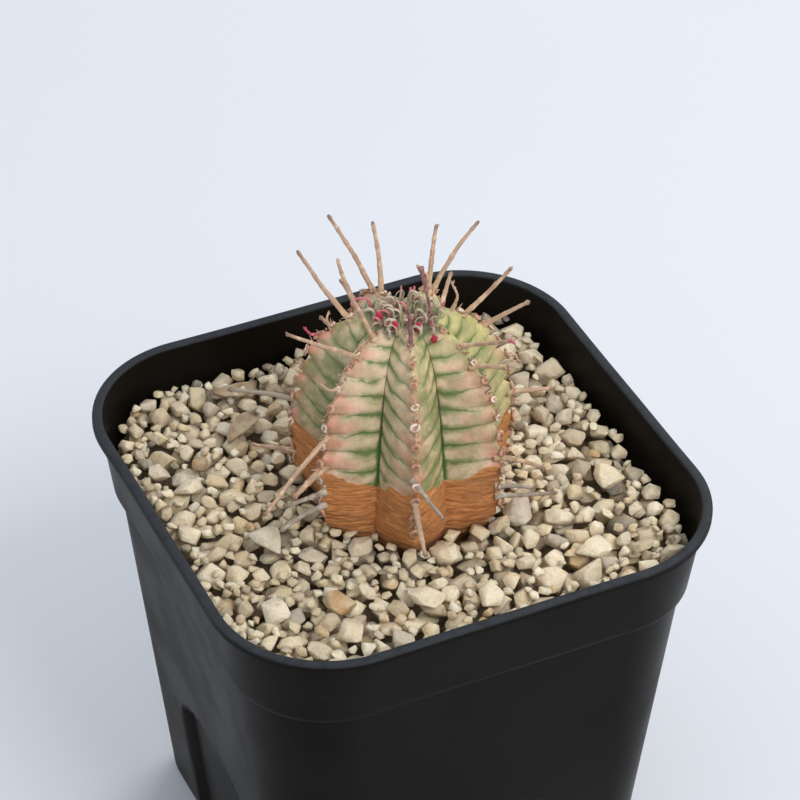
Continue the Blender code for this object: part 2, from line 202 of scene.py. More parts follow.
def sweep(bm: BMesh, path: Path, radii: Sequence[float], sides: int = 8,
          flatness: float = 1.0, tone: float = 0.0) -> None:
    """Sweep a round or flattened section along a path and close both its ends.

    Args:
        bm: mesh to add to; it gets the colour layer "stalk" with share along, tone and side.
        path: points of the centre line.
        radii: radius at each point.
        sides: vertices round the section.
        flatness: thickness of the section as a share of its width.
        tone: value from 0 to 1 that tells this sweep from others in its material.
    """
    stalk = bm.verts.layers.float_color.get("stalk") or bm.verts.layers.float_color.new("stalk")
    turn = bm.verts.layers.int.get("turn") or bm.verts.layers.int.new("turn")
    forward = (path[1] - path[0]).normalized()
    side = forward.orthogonal().normalized()
    edges: list[bmesh.types.BMEdge] = []
    for step, (point, radius) in enumerate(zip(path, radii)):
        nearby = path[min(step + 1, len(path) - 1)] - path[max(step - 1, 0)]
        heading = nearby.normalized()
        side = (side - heading * side.dot(heading)).normalized()
        cross = heading.cross(side)

        def place(number: int) -> Vector:
            """Place of a section's vertex."""
            angle = number / sides * 2 * math.pi
            return point + (side * math.cos(angle) + cross * (math.sin(angle) * flatness)) * radius

        if step == 0:
            edges = start_ring(bm, sides, place)
        else:
            edges = extrude_ring(bm, edges, place)
        share = step / (len(path) - 1)
        for vert in {vert for edge in edges for vert in edge.verts}:
            vert[stalk] = (share, tone, vert[turn] / sides, 1.0)
        if step in (0, len(path) - 1):
            bmesh.ops.contextual_create(bm, geom=edges)


def copy_into(bm: BMesh, master: bpy.types.Mesh, place: Matrix,
              layer: str, value: Sequence[float]) -> None:
    """Add a placed copy of a mesh and give its vertices one colour value.

    Args:
        bm: mesh to add to.
        master: mesh to copy.
        place: where the copy goes.
        layer: name of the colour layer.
        value: four numbers for that layer.
    """
    colours = bm.verts.layers.float_color.get(layer) or bm.verts.layers.float_color.new(layer)
    first = len(bm.verts)
    bm.from_mesh(master)
    bm.verts.ensure_lookup_table()
    fresh = bm.verts[first:]
    bmesh.ops.transform(bm, matrix=place, verts=fresh)
    for vert in fresh:
        vert[colours] = value


# ----------------------------------------------------------------------------------------------
# Material helpers


class Sheet:
    """A material's or a group's node tree, with short calls for the nodes that the finishes use."""

    def __init__(self, tree: bpy.types.NodeTree) -> None:
        """Start writing in a tree.

        Args:
            tree: the tree to add nodes to.
        """
        self.tree = tree

    def node(self, kind: str, inputs: dict | None = None, **settings: object) -> bpy.types.Node:
        """Add a node.

        Args:
            kind: the node's type name.
            inputs: values or sockets, by input name or number.
            settings: the node's own properties.

        Returns:
            The new node.
        """
        made = self.tree.nodes.new(kind)
        for key, value in settings.items():
            setattr(made, key, value)
        for key, value in (inputs or {}).items():
            self.feed(made.inputs[key], value)
        return made

    def feed(self, socket: bpy.types.NodeSocket, value: object) -> None:
        """Link a socket to another, or set its value.

        Args:
            socket: the input socket.
            value: another node's output, or a plain value.
        """
        if isinstance(value, bpy.types.NodeSocket):
            self.tree.links.new(value, socket)
        elif isinstance(value, tuple) and len(value) == 3 and socket.type == "RGBA":
            socket.default_value = (*value, 1.0)
        else:
            socket.default_value = value

    def sum(self, operation: str, first: object, second: object = 0.0,
            clamp: bool = False) -> Socket:
        """Work out one number from one or two others.

        Args:
            operation: the Math node's operation.
            first: first number or socket.
            second: second number or socket.
            clamp: whether the result is kept between 0 and 1.

        Returns:
            The result.
        """
        made = self.node("ShaderNodeMath", {0: first, 1: second}, operation=operation)
        made.use_clamp = clamp
        return made.outputs[0]

    def times(self, first: object, second: object, clamp: bool = False) -> Socket:
        """Multiply two numbers."""
        return self.sum("MULTIPLY", first, second, clamp)

    def plus(self, first: object, second: object) -> Socket:
        """Add two numbers."""
        return self.sum("ADD", first, second)

    def less(self, first: object, second: object, clamp: bool = False) -> Socket:
        """Take the second number from the first."""
        return self.sum("SUBTRACT", first, second, clamp)

    def span(self, value: object, low: float, high: float, start: float = 0.0,
             end: float = 1.0) -> Socket:
        """Ease a value between two limits onto another range.

        Args:
            value: number to ease.
            low: value that gives start.
            high: value that gives end.
            start: result at low.
            end: result at high.

        Returns:
            The result.
        """
        made = self.node("ShaderNodeMapRange", {"Value": value, "From Min": low, "From Max": high,
                                                "To Min": start, "To Max": end},
                         interpolation_type="SMOOTHSTEP")
        return made.outputs["Result"]

    def blend(self, share: object, first: object, second: object,
              kind: str = "MIX") -> Socket:
        """Mix two colours by a share.

        Args:
            share: share of the second colour.
            first: first colour.
            second: second colour.
            kind: the Mix node's blend type.

        Returns:
            The mixed colour.
        """
        made = self.node("ShaderNodeMix", data_type="RGBA", blend_type=kind)
        self.feed(made.inputs["Factor"], share)
        self.feed(made.inputs[6], first)
        self.feed(made.inputs[7], second)
        return made.outputs[2]

    def ramp(self, share: object, stops: Sequence[tuple[float, Colour]]) -> Socket:
        """Read a colour ramp.

        Args:
            share: place on the ramp.
            stops: place and colour of each stop.

        Returns:
            The colour.
        """
        made = self.node("ShaderNodeValToRGB", {"Fac": share})
        elements = made.color_ramp.elements
        while len(elements) < len(stops):
            elements.new(1.0)
        for element, (place, colour) in zip(elements, stops):
            element.position = place
            element.color = (*colour, 1.0)
        return made.outputs["Color"]

    def grain(self, vector: object, scale: float, detail: float = 3.0, rough: float = 0.55,
              seed: object = 0.0) -> Socket:
        """Read a noise between 0 and 1.

        Args:
            vector: where it is read.
            scale: its fineness.
            detail: its octaves.
            rough: strength of the finer octaves.
            seed: shifts it to another pattern.

        Returns:
            The noise.
        """
        made = self.node("ShaderNodeTexNoise", {"Vector": vector, "Scale": scale, "Detail": detail,
                                                "Roughness": rough, "W": seed},
                         noise_dimensions="4D")
        return made.outputs["Fac"]

    def millimetres(self) -> Socket:
        """The object's own coordinates, in millimetres."""
        place = self.node("ShaderNodeTexCoord").outputs["Object"]
        return self.node("ShaderNodeVectorMath", {0: place, "Scale": 1.0 / MM},
                         operation="SCALE").outputs[0]

    def stretched(self, vector: object, scale: Triple) -> Socket:
        """Scale a vector by its own amount on each axis."""
        return self.node("ShaderNodeMapping", {"Vector": vector, "Scale": scale}).outputs[0]

    def layer(self, name: str) -> list[Socket]:
        """Read a colour attribute.

        Args:
            name: its name.

        Returns:
            Its three numbers.
        """
        made = self.node("ShaderNodeAttribute", attribute_name=name)
        split = self.node("ShaderNodeSeparateColor", {"Color": made.outputs["Color"]})
        return list(split.outputs)[:3]

    def bump(self, height: object, distance_mm: float, strength: float = 1.0,
             normal: object | None = None) -> Socket:
        """Turn a height into a normal.

        Args:
            height: the height.
            distance_mm: what a height of 1 stands for.
            strength: share of the relief that is used.
            normal: a normal to start from.

        Returns:
            The normal.
        """
        inputs: dict = {"Height": height, "Distance": distance_mm * MM, "Strength": strength}
        if normal is not None:
            inputs["Normal"] = normal
        return self.node("ShaderNodeBump", inputs).outputs["Normal"]


def new_group(name: str, inputs: dict[str, float],
              outputs: Sequence[str]) -> tuple[bpy.types.NodeTree, Sheet, dict]:
    """Start a shader node group that takes a vector and numbers and gives numbers.

    Args:
        name: the group's name.
        inputs: its number inputs and their default values.
        outputs: names of its number outputs.

    Returns:
        The group's tree, a sheet to write in it, and its input sockets by name.
    """
    tree = bpy.data.node_groups.new(name, "ShaderNodeTree")
    tree.interface.new_socket("Vector", in_out="INPUT", socket_type="NodeSocketVector")
    for key, value in inputs.items():
        socket = tree.interface.new_socket(key, in_out="INPUT", socket_type="NodeSocketFloat")
        socket.default_value = value
    for key in outputs:
        tree.interface.new_socket(key, in_out="OUTPUT", socket_type="NodeSocketFloat")
    entry = tree.nodes.new("NodeGroupInput")
    return tree, Sheet(tree), {socket.name: socket for socket in entry.outputs}


def mottle_group() -> bpy.types.NodeTree:
    """Make the group that breaks an even surface up with broad clouds and fine grain.

    Returns:
        The group.
    """
    tree, sheet, given = new_group("mottle", {"Scale": 1.0, "Seed": 0.0}, ("Clouds", "Grain"))
    clouds = sheet.node("ShaderNodeTexNoise", {"Vector": given["Vector"], "Scale": given["Scale"],
                                               "Detail": 4.0, "W": given["Seed"]},
                        noise_dimensions="4D").outputs["Fac"]
    finer = sheet.times(given["Scale"], 9.0)
    grain = sheet.node("ShaderNodeTexNoise", {"Vector": given["Vector"], "Scale": finer,
                                              "Detail": 5.0, "Roughness": 0.65, "W": given["Seed"]},
                       noise_dimensions="4D").outputs["Fac"]
    sheet.node("NodeGroupOutput", {"Clouds": sheet.span(clouds, 0.3, 0.7), "Grain": grain})
    return tree


def speck_group() -> bpy.types.NodeTree:
    """Make the group that scatters small round specks of dust.

    Returns:
        The group.
    """
    tree, sheet, given = new_group("specks", {"Scale": 0.5, "Size": 0.1, "Share": 0.3}, ("Mask",))
    cells = sheet.node("ShaderNodeTexVoronoi", {"Vector": given["Vector"], "Scale": given["Scale"]})
    chance = sheet.node("ShaderNodeSeparateColor", {"Color": cells.outputs["Color"]}).outputs[0]
    chosen = sheet.sum("LESS_THAN", chance, given["Share"])
    size = sheet.times(given["Size"], sheet.plus(chance, 0.35))
    inside = sheet.sum("LESS_THAN", cells.outputs["Distance"], size)
    sheet.node("NodeGroupOutput", {"Mask": sheet.times(chosen, inside)})
    return tree


class Effects:
    """Node groups that several finishes share, built once."""

    def __init__(self) -> None:
        """Build the groups."""
        self.mottle = mottle_group()
        self.specks = speck_group()


def use_group(sheet: Sheet, tree: bpy.types.NodeTree, inputs: dict) -> bpy.types.Node:
    """Place a group in a material with its own values.

    Args:
        sheet: the material's sheet.
        tree: the group.
        inputs: values or sockets by input name.

    Returns:
        The group's node.
    """
    made = sheet.node("ShaderNodeGroup", node_tree=tree)
    for key, value in inputs.items():
        sheet.feed(made.inputs[key], value)
    return made


@dataclass(frozen=True)
class Finish:
    """A finish: a Principled material whose varying sockets come from nodes."""

    name: str
    roughness: float = 0.5
    specular: float = 0.5
    subsurface: float = 0.0
    subsurface_radius_mm: Triple = (1.0, 0.6, 0.4)

    def start(self) -> tuple[Material, Sheet, bpy.types.Node]:
        """Make the material and set what is the same all over it.

        Returns:
            The material, a sheet to write in it, and its Principled node.
        """
        material = bpy.data.materials.new(self.name)
        material.use_nodes = True
        shader = material.node_tree.nodes["Principled BSDF"]
        shader.inputs["Roughness"].default_value = self.roughness
        shader.inputs["Specular IOR Level"].default_value = self.specular
        shader.inputs["Subsurface Weight"].default_value = self.subsurface
        shader.inputs["Subsurface Radius"].default_value = self.subsurface_radius_mm
        shader.inputs["Subsurface Scale"].default_value = MM
        return material, Sheet(material.node_tree), shader


# ----------------------------------------------------------------------------------------------
# Finishes


@dataclass(frozen=True)
class BlackPlastic(Finish):
    """Black moulded plastic with scuffs, specks, a film of dust near the foot and a painted bluish
    highlight on the lip's top.
    """

    name: str = "black_plastic"
    specular: float = 0.055
    black: Colour = (0.0048, 0.0036, 0.0024)
    # Bluish colour of the painted highlight on the lip's top, in place of the sky's reflection.
    painted_lip_sheen: Colour = (0.17, 0.205, 0.26)
    dust: Colour = (0.22, 0.205, 0.19)

    def build(self, effects: Effects) -> Material:
        """Make the material.

        Args:
            effects: the shared node groups.

        Returns:
            The material.
        """
        material, sheet, shader = self.start()
        place = sheet.millimetres()
        broad = use_group(sheet, effects.mottle, {"Vector": place, "Scale": 0.05, "Seed": 2.0})
        fine = use_group(sheet, effects.mottle, {"Vector": place, "Scale": 0.6, "Seed": 5.0})
        scuffs = sheet.grain(sheet.stretched(place, (0.9, 0.9, 0.16)), 0.55, 6.0, 0.75, 3.0)
        scuff = sheet.span(scuffs, 0.60, 0.74)
        specks = use_group(sheet, effects.specks, {"Vector": place, "Scale": 0.24, "Size": 0.030,
                                                   "Share": 0.30}).outputs["Mask"]
        lint = use_group(sheet, effects.specks, {"Vector": place, "Scale": 0.8, "Size": 0.05,
                                                 "Share": 0.10}).outputs["Mask"]
        height = sheet.node("ShaderNodeSeparateXYZ", {0: place}).outputs["Z"]
        film = sheet.times(sheet.span(height, 42.0, 0.0), 0.05)
        haze = sheet.plus(film, sheet.times(broad.outputs["Clouds"], 0.018))
        haze = sheet.plus(haze, sheet.times(scuff, 0.03))
        colour = sheet.blend(haze, self.black, self.dust)
        # Painted highlight: a bluish sheen painted along the lip's top in place of the sky's
        # reflection, varied in strength by the scuffs.
        lip_low, lip_high = POT_HEIGHT_MM - 0.45, POT_HEIGHT_MM - 0.05
        lip_sheen_mask = sheet.times(sheet.span(height, lip_low, lip_high, 0.0, 0.13),
                          sheet.span(scuffs, 0.25, 0.60, 0.45, 1.0))
        colour = sheet.blend(lip_sheen_mask, colour, self.painted_lip_sheen)
        spots = sheet.sum("MAXIMUM", specks, lint)
        colour = sheet.blend(sheet.times(spots, 0.40), colour, (0.30, 0.28, 0.25))
        sheet.feed(shader.inputs["Base Color"], colour)
        rough = sheet.plus(sheet.span(broad.outputs["Clouds"], 0.0, 1.0, 0.33, 0.45),
                           sheet.times(scuff, 0.18))
        sheet.feed(shader.inputs["Roughness"], sheet.plus(rough, sheet.times(spots, 0.3)))
        relief = sheet.plus(fine.outputs["Grain"], sheet.times(spots, 1.5))
        sheet.feed(shader.inputs["Normal"], sheet.bump(relief, 0.05, 0.35))
        return material


@dataclass(frozen=True)
class QuartzGrit(Finish):
    """Crushed quartz: cream to grey grains, some stained with iron."""

    name: str = "quartz_grit"
    roughness: float = 0.55
    specular: float = 0.5
    subsurface: float = 0.30
    subsurface_radius_mm: Triple = (2.2, 1.5, 0.8)

    def build(self, effects: Effects) -> Material:
        """Make the material; the attribute "grain" holds tone, warmth and stain of each stone.

        Args:
            effects: the shared node groups.

        Returns:
            The material.
        """
        material, sheet, shader = self.start()
        place = sheet.millimetres()
        tone, warmth, stain = sheet.layer("grain")
        seed = sheet.times(tone, 57.0)
        cloud = use_group(sheet, effects.mottle, {"Vector": place, "Scale": 0.42, "Seed": seed})
        vein = sheet.grain(place, 1.1, 5.0, 0.7, sheet.plus(seed, 9.0))
        pale = sheet.ramp(tone, ((0.0, (0.17, 0.145, 0.115)), (0.22, (0.36, 0.305, 0.215)),
                                 (0.55, (0.60, 0.495, 0.335)), (1.0, (0.87, 0.755, 0.55))))
        cool = sheet.ramp(tone, ((0.0, (0.13, 0.125, 0.12)), (0.3, (0.36, 0.32, 0.275)),
                                 (1.0, (0.80, 0.735, 0.63))))
        colour = sheet.blend(warmth, cool, pale)
        honey = sheet.blend(cloud.outputs["Clouds"], (0.52, 0.36, 0.16), (0.66, 0.51, 0.30))
        patch = sheet.times(sheet.span(cloud.outputs["Clouds"], 0.35, 1.0), 0.55)
        colour = sheet.blend(sheet.times(patch, warmth), colour, honey)
        rust = sheet.blend(vein, (0.40, 0.20, 0.07), (0.66, 0.44, 0.20))
        rusty = sheet.times(stain, sheet.span(cloud.outputs["Clouds"], 0.0, 0.75, 0.35, 1.0))
        colour = sheet.blend(rusty, colour, rust)
        dark = sheet.span(vein, 0.56, 0.72, 0.0, 0.75)
        colour = sheet.blend(dark, colour, sheet.blend(0.62, colour, (0.16, 0.115, 0.065)))
        light = sheet.span(cloud.outputs["Grain"], 0.35, 0.70, 0.86, 1.12)
        shade = sheet.ramp(sheet.times(light, 0.8),
                           ((0.0, (0.0, 0.0, 0.0)), (1.0, (1.25, 1.25, 1.25))))
        colour = sheet.blend(1.0, colour, shade, "MULTIPLY")
        sheet.feed(shader.inputs["Base Color"], colour)
        sheet.feed(shader.inputs["Roughness"],
                   sheet.span(cloud.outputs["Grain"], 0.3, 0.7, 0.30, 0.62))
        chips = sheet.node("ShaderNodeTexVoronoi", {"Vector": place, "Scale": 0.9},
                           feature="SMOOTH_F1").outputs["Distance"]
        rough = sheet.bump(sheet.plus(vein, cloud.outputs["Grain"]), 0.30, 0.6)
        sheet.feed(shader.inputs["Normal"], sheet.bump(chips, 0.5, 0.5, rough))
        return material


@dataclass(frozen=True)
class VariegatedSkin(Finish):
    """Waxy skin in cream, pink and green over a corky brown base."""

    name: str = "stem_skin"
    roughness: float = 0.46
    specular: float = 0.4
    subsurface: float = 0.10
    subsurface_radius_mm: Triple = (1.2, 0.6, 0.3)
    cream: Colour = (0.75, 0.575, 0.40)
    pink: Colour = (0.78, 0.37, 0.285)
    salmon: Colour = (0.68, 0.19, 0.13)
    yellow: Colour = (0.62, 0.54, 0.20)
    leaf: Colour = (0.060, 0.140, 0.026)
    moss: Colour = (0.205, 0.225, 0.085)

    def build(self, effects: Effects) -> Material:
        """Make the material.

        The attribute "skin" holds the share towards the rib's edge, the band and the height; the
        attribute "tint" holds the yellow share, the green share and the cork.

        Args:
            effects: the shared node groups.

        Returns:
            The material.
        """
        material, sheet, shader = self.start()
        place = sheet.millimetres()
        share, band, height = sheet.layer("skin")
        yellow, green, cork = sheet.layer("tint")
        cloud = use_group(sheet, effects.mottle, {"Vector": place, "Scale": 0.16, "Seed": 1.0})
        fine = use_group(sheet, effects.mottle, {"Vector": place, "Scale": 0.75, "Seed": 4.0})
        band = sheet.times(band, 20.0)
        wobble = sheet.times(sheet.less(sheet.grain(place, 0.24, 2.0), 0.5), 0.95)
        ripple = sheet.less(sheet.grain(place, 1.3, 3.0, 0.5, 6.0), 0.5)
        wobble = sheet.plus(wobble, sheet.times(ripple, 0.13))
        wavy = sheet.plus(band, wobble)
        phase = sheet.sum("ABSOLUTE", sheet.less(sheet.sum("FRACT", wavy), 0.5))
        flesh = self.flesh(sheet, cloud, fine, share, phase, yellow)
        flesh = self.stripes(sheet, flesh, place, (share, wavy, phase, height), green)
        flesh = self.blemishes(sheet, effects, flesh, place)
        bark, fibre = self.bark(sheet, place, height)
        edge = sheet.span(cork, 0.42, 0.5)
        colour = sheet.blend(edge, flesh, bark)
        sheet.feed(shader.inputs["Base Color"], colour)
        gloss = sheet.span(fine.outputs["Grain"], 0.3, 0.7, 0.36, 0.54)
        sheet.feed(shader.inputs["Roughness"], sheet.sum("MAXIMUM", gloss, sheet.times(edge, 0.86)))
        skin_height = sheet.times(fine.outputs["Grain"], 0.4)
        relief = sheet.plus(skin_height, sheet.times(fibre, sheet.times(edge, 2.6)))
        sheet.feed(shader.inputs["Normal"], sheet.bump(relief, 0.22, 0.7))
        return material

    def flesh(self, sheet: Sheet, cloud: bpy.types.Node, fine: bpy.types.Node,
              share: object, phase: object, yellow: object) -> Socket:
        """Cream flesh that turns pink towards the ribs' edges.

        Args:
            sheet: the material's sheet.
            cloud: broad mottle.
            fine: fine mottle.
            share: share towards the rib's edge.
            phase: distance from the nearest groove.
            yellow: yellow share.

        Returns:
            The colour.
        """
        outer = sheet.plus(share, sheet.times(sheet.less(cloud.outputs["Clouds"], 0.5), 0.7))
        blush = sheet.times(sheet.span(outer, 0.15, 0.95), sheet.span(phase, 0.02, 0.34))
        blush = sheet.times(blush, sheet.less(1.0, yellow))
        colour = sheet.blend(yellow, self.cream, self.yellow)
        colour = sheet.blend(sheet.times(blush, 0.95), colour, self.pink)
        tip = sheet.times(sheet.span(share, 0.70, 1.0),
                          sheet.span(cloud.outputs["Clouds"], 0.05, 0.6))
        tip = sheet.times(tip, sheet.span(yellow, 0.95, 0.40))
        colour = sheet.blend(sheet.times(tip, 0.85), colour, self.salmon)
        streak = sheet.span(fine.outputs["Clouds"], 0.2, 0.9, 0.0, 0.20)
        colour = sheet.blend(streak, colour, (0.80, 0.70, 0.52))
        dull = sheet.span(fine.outputs["Grain"], 0.42, 0.66, 0.06, 0.40)
        return sheet.blend(dull, colour, (0.36, 0.27, 0.17))

    def stripes(self, sheet: Sheet, flesh: object, place: object, where: tuple,
                green: object) -> Socket:
        """Green chevron stripes in the grooves and a green line down each valley.

        Args:
            sheet: the material's sheet.
            flesh: colour to draw on.
            place: coordinates in millimetres.
            where: share, wavy band, phase and height.
            green: green share.

        Returns:
            The colour.
        """
        share, wavy, phase, height = where
        number = sheet.sum("FLOOR", wavy)
        keyed = sheet.node("ShaderNodeCombineXYZ",
                           {0: number, 1: sheet.sum("ROUND", sheet.times(green, 7.0))})
        chance = sheet.node("ShaderNodeTexWhiteNoise", {"Vector": keyed.outputs[0]},
                            noise_dimensions="2D").outputs["Value"]
        patchy = sheet.grain(place, 0.34, 4.0, 0.65, 8.0)
        strength = sheet.plus(sheet.times(chance, 0.60), sheet.times(patchy, 1.6))
        strength = sheet.plus(strength, sheet.times(green, 0.6))
        strength = sheet.span(strength, 0.80, 1.45)
        inner = sheet.span(share, 0.97, 0.55)
        strength = sheet.times(strength, inner)
        near = sheet.span(share, 0.80, 0.05)
        soft = sheet.times(sheet.span(phase, 0.40, 0.04), strength)
        soft = sheet.times(soft, sheet.plus(near, 0.45), clamp=True)
        breadth = sheet.times(sheet.span(patchy, 0.35, 0.65, 1.8, 0.75),
                              sheet.less(1.35, sheet.times(near, 0.75)))
        thin = sheet.span(sheet.times(phase, breadth), 0.135, 0.025)
        thin = sheet.times(thin, strength)
        doubled = sheet.plus(sheet.times(wavy, 2.0), 0.2)
        second = sheet.sum("ABSOLUTE", sheet.less(sheet.sum("FRACT", doubled), 0.5))
        faint = sheet.times(sheet.span(second, 0.16, 0.02),
                            sheet.times(sheet.span(patchy, 0.50, 0.66), inner))
        colour = sheet.blend(sheet.times(soft, 0.78), flesh, self.moss)
        colour = sheet.blend(sheet.times(faint, 0.55), colour, self.moss)
        colour = sheet.blend(sheet.times(thin, 0.92), colour, self.leaf)
        wash = sheet.times(green, sheet.span(patchy, 0.32, 0.62))
        colour = sheet.blend(sheet.times(wash, 0.88), colour, self.moss)
        low = sheet.span(height, 0.66, 0.30)
        width = sheet.times(sheet.span(patchy, 0.30, 0.65, 0.045, 0.105), sheet.plus(low, 0.45))
        valley = sheet.less(1.0, sheet.sum("DIVIDE", share, width), clamp=True)
        line = sheet.blend(low, (0.115, 0.090, 0.045), (0.055, 0.135, 0.026))
        colour = sheet.blend(sheet.span(valley, 0.0, 0.85), colour, line)
        crown = sheet.times(sheet.span(height, 0.745, 0.782), sheet.span(patchy, 0.36, 0.56))
        return sheet.blend(sheet.times(crown, 0.9), colour, (0.035, 0.075, 0.04))

    def blemishes(self, sheet: Sheet, effects: Effects, flesh: object, place: object) -> Socket:
        """Small rust-brown scabs and paler dots.

        Args:
            sheet: the material's sheet.
            effects: the shared node groups.
            flesh: colour to draw on.
            place: coordinates in millimetres.

        Returns:
            The colour.
        """
        scabs = use_group(sheet, effects.specks, {"Vector": place, "Scale": 0.42, "Size": 0.11,
                                                  "Share": 0.10}).outputs["Mask"]
        dots = use_group(sheet, effects.specks, {"Vector": place, "Scale": 1.1, "Size": 0.16,
                                                 "Share": 0.16}).outputs["Mask"]
        colour = sheet.blend(sheet.times(dots, 0.35), flesh, (0.84, 0.78, 0.62))
        return sheet.blend(sheet.times(scabs, 0.7), colour, (0.30, 0.12, 0.05))

    def bark(self, sheet: Sheet, place: object, height: object) -> tuple[Socket, Socket]:
        """Orange-brown cork with fibres that run round the stem, with painted shade where it meets
        the grit.

        Args:
            sheet: the material's sheet.
            place: coordinates in millimetres.
            height: height share.

        Returns:
            The cork's colour, with painted shade at its foot, and its fibre height.
        """
        fibre = sheet.grain(sheet.stretched(place, (0.55, 0.55, 3.2)), 0.9, 6.0, 0.72, 2.0)
        patch = sheet.grain(sheet.stretched(place, (0.6, 0.6, 1.4)), 0.28, 4.0, 0.6, 11.0)
        colour = sheet.ramp(fibre, ((0.28, (0.18, 0.060, 0.020)), (0.45, (0.47, 0.180, 0.056)),
                                    (0.58, (0.62, 0.265, 0.088)), (0.76, (0.78, 0.45, 0.20))))
        colour = sheet.blend(sheet.span(patch, 0.46, 0.70, 0.0, 0.60), colour, (0.30, 0.135, 0.060))
        # Painted shade: the cork turns almost black in the last few millimetres above the grit,
        # where the stem meets the stones.
        foot = sheet.span(height, 0.10, -0.02, 0.0, 0.60)
        return sheet.blend(foot, colour, (0.060, 0.028, 0.014)), fibre


@dataclass(frozen=True)
class DryStalk(Finish):
    """Dry woody stalk with streaks along it and a darker end."""

    name: str = "dry_stalk"
    roughness: float = 0.72
    specular: float = 0.3
    foot: Colour = (0.60, 0.41, 0.25)
    middle: Colour = (0.50, 0.325, 0.22)
    end: Colour = (0.22, 0.12, 0.09)

    def build(self, effects: Effects) -> Material:
        """Make the material; the attribute "stalk" holds share along, tone and share round.

        Args:
            effects: the shared node groups.

        Returns:
            The material.
        """
        material, sheet, shader = self.start()
        place = sheet.millimetres()
        along, tone, side = sheet.layer("stalk")
        streak = sheet.node("ShaderNodeCombineXYZ",
                            {0: sheet.times(side, 6.0), 1: sheet.times(along, 2.2),
                             2: sheet.times(tone, 31.0)})
        lines = sheet.grain(streak.outputs[0], 1.6, 4.0, 0.6, 1.0)
        cloud = use_group(sheet, effects.mottle, {"Vector": place, "Scale": 0.7, "Seed": tone})
        colour = sheet.ramp(along, ((0.0, self.foot), (0.45, self.middle), (0.86, self.middle),
                                    (1.0, self.end)))
        colour = sheet.blend(sheet.span(lines, 0.35, 0.72, 0.0, 0.55), colour,
                             tuple(part * 0.42 for part in self.middle))
        colour = sheet.blend(sheet.span(cloud.outputs["Clouds"], 0.55, 1.0, 0.0, 0.40), colour,
                             tuple(min(1.0, part * 1.5 + 0.05) for part in self.foot))
        sheet.feed(shader.inputs["Base Color"], colour)
        sheet.feed(shader.inputs["Roughness"], sheet.span(lines, 0.3, 0.7, 0.62, 0.82))
        relief = sheet.plus(lines, sheet.times(cloud.outputs["Grain"], 0.5))
        sheet.feed(shader.inputs["Normal"], sheet.bump(relief, 0.10, 0.8))
        return material


@dataclass(frozen=True)
class SoftTissue(Finish):
    """Matt tissue in two colours, for buds, scars, leaf flakes and soil."""

    name: str = "tissue"
    roughness: float = 0.6
    first: Colour = (0.45, 0.015, 0.05)
    second: Colour = (0.65, 0.06, 0.10)
    cloud_scale: float = 0.8
    relief_mm: float = 0.08

    def build(self, effects: Effects) -> Material:
        """Make the material.

        Args:
            effects: the shared node groups.

        Returns:
            The material.
        """
        material, sheet, shader = self.start()
        place = sheet.millimetres()
        cloud = use_group(sheet, effects.mottle, {"Vector": place, "Scale": self.cloud_scale,
                                                  "Seed": 3.0})
        colour = sheet.blend(cloud.outputs["Clouds"], self.first, self.second)
        shade = sheet.span(cloud.outputs["Grain"], 0.35, 0.6, 0.45, 0.0)
        colour = sheet.blend(shade, colour, tuple(part * 0.45 for part in self.first))
        sheet.feed(shader.inputs["Base Color"], colour)
        low = max(0.05, self.roughness - 0.1)
        sheet.feed(shader.inputs["Roughness"],
                   sheet.span(cloud.outputs["Grain"], 0.3, 0.7, low, self.roughness + 0.1))
        sheet.feed(shader.inputs["Normal"],
                   sheet.bump(cloud.outputs["Grain"], self.relief_mm, 0.8))
        return material


@dataclass(frozen=True)
class ScarFinish(Finish):
    """Round scar: a pale corky ring about a brown middle."""

    name: str = "stalk_scar"
    roughness: float = 0.75

    def build(self, effects: Effects) -> Material:
        """Make the material; the attribute "scar" holds the share outwards and a tone.

        Args:
            effects: the shared node groups.

        Returns:
            The material.
        """
        material, sheet, shader = self.start()
        outwards, tone, _ = sheet.layer("scar")
        cloud = use_group(sheet, effects.mottle, {"Vector": sheet.millimetres(), "Scale": 2.0,
                                                  "Seed": tone})
        worn = sheet.plus(outwards, sheet.times(sheet.less(cloud.outputs["Clouds"], 0.5), 0.3))
        ring = sheet.ramp(worn, ((0.0, (0.33, 0.15, 0.07)), (0.40, (0.50, 0.30, 0.19)),
                                 (0.62, (0.80, 0.73, 0.62)), (1.0, (0.34, 0.15, 0.09))))
        plain = sheet.ramp(worn, ((0.0, (0.16, 0.075, 0.05)), (0.55, (0.42, 0.20, 0.10)),
                                  (1.0, (0.60, 0.36, 0.26))))
        colour = sheet.blend(sheet.span(tone, 0.45, 0.55), plain, ring)
        sheet.feed(shader.inputs["Base Color"], colour)
        sheet.feed(shader.inputs["Roughness"],
                   sheet.span(cloud.outputs["Grain"], 0.3, 0.7, 0.65, 0.85))
        sheet.feed(shader.inputs["Normal"], sheet.bump(cloud.outputs["Grain"], 0.06, 0.8))
        return material


@dataclass(frozen=True)
class FloorPaint(Finish):
    """Plain pale floor with a faint unevenness."""

    name: str = "pale_floor"
    roughness: float = 0.6
    first: Colour = (0.585, 0.605, 0.655)
    second: Colour = (0.60, 0.62, 0.67)

    def build(self, effects: Effects) -> Material:
        """Make the material.

        Args:
            effects: the shared node groups.

        Returns:
            The material.
        """
        material, sheet, shader = self.start()
        cloud = use_group(sheet, effects.mottle, {"Vector": sheet.millimetres(), "Scale": 0.004,
                                                  "Seed": 1.0})
        sheet.feed(shader.inputs["Base Color"],
                   sheet.blend(cloud.outputs["Clouds"], self.first, self.second))
        return material


# ----------------------------------------------------------------------------------------------
# Pot and soil


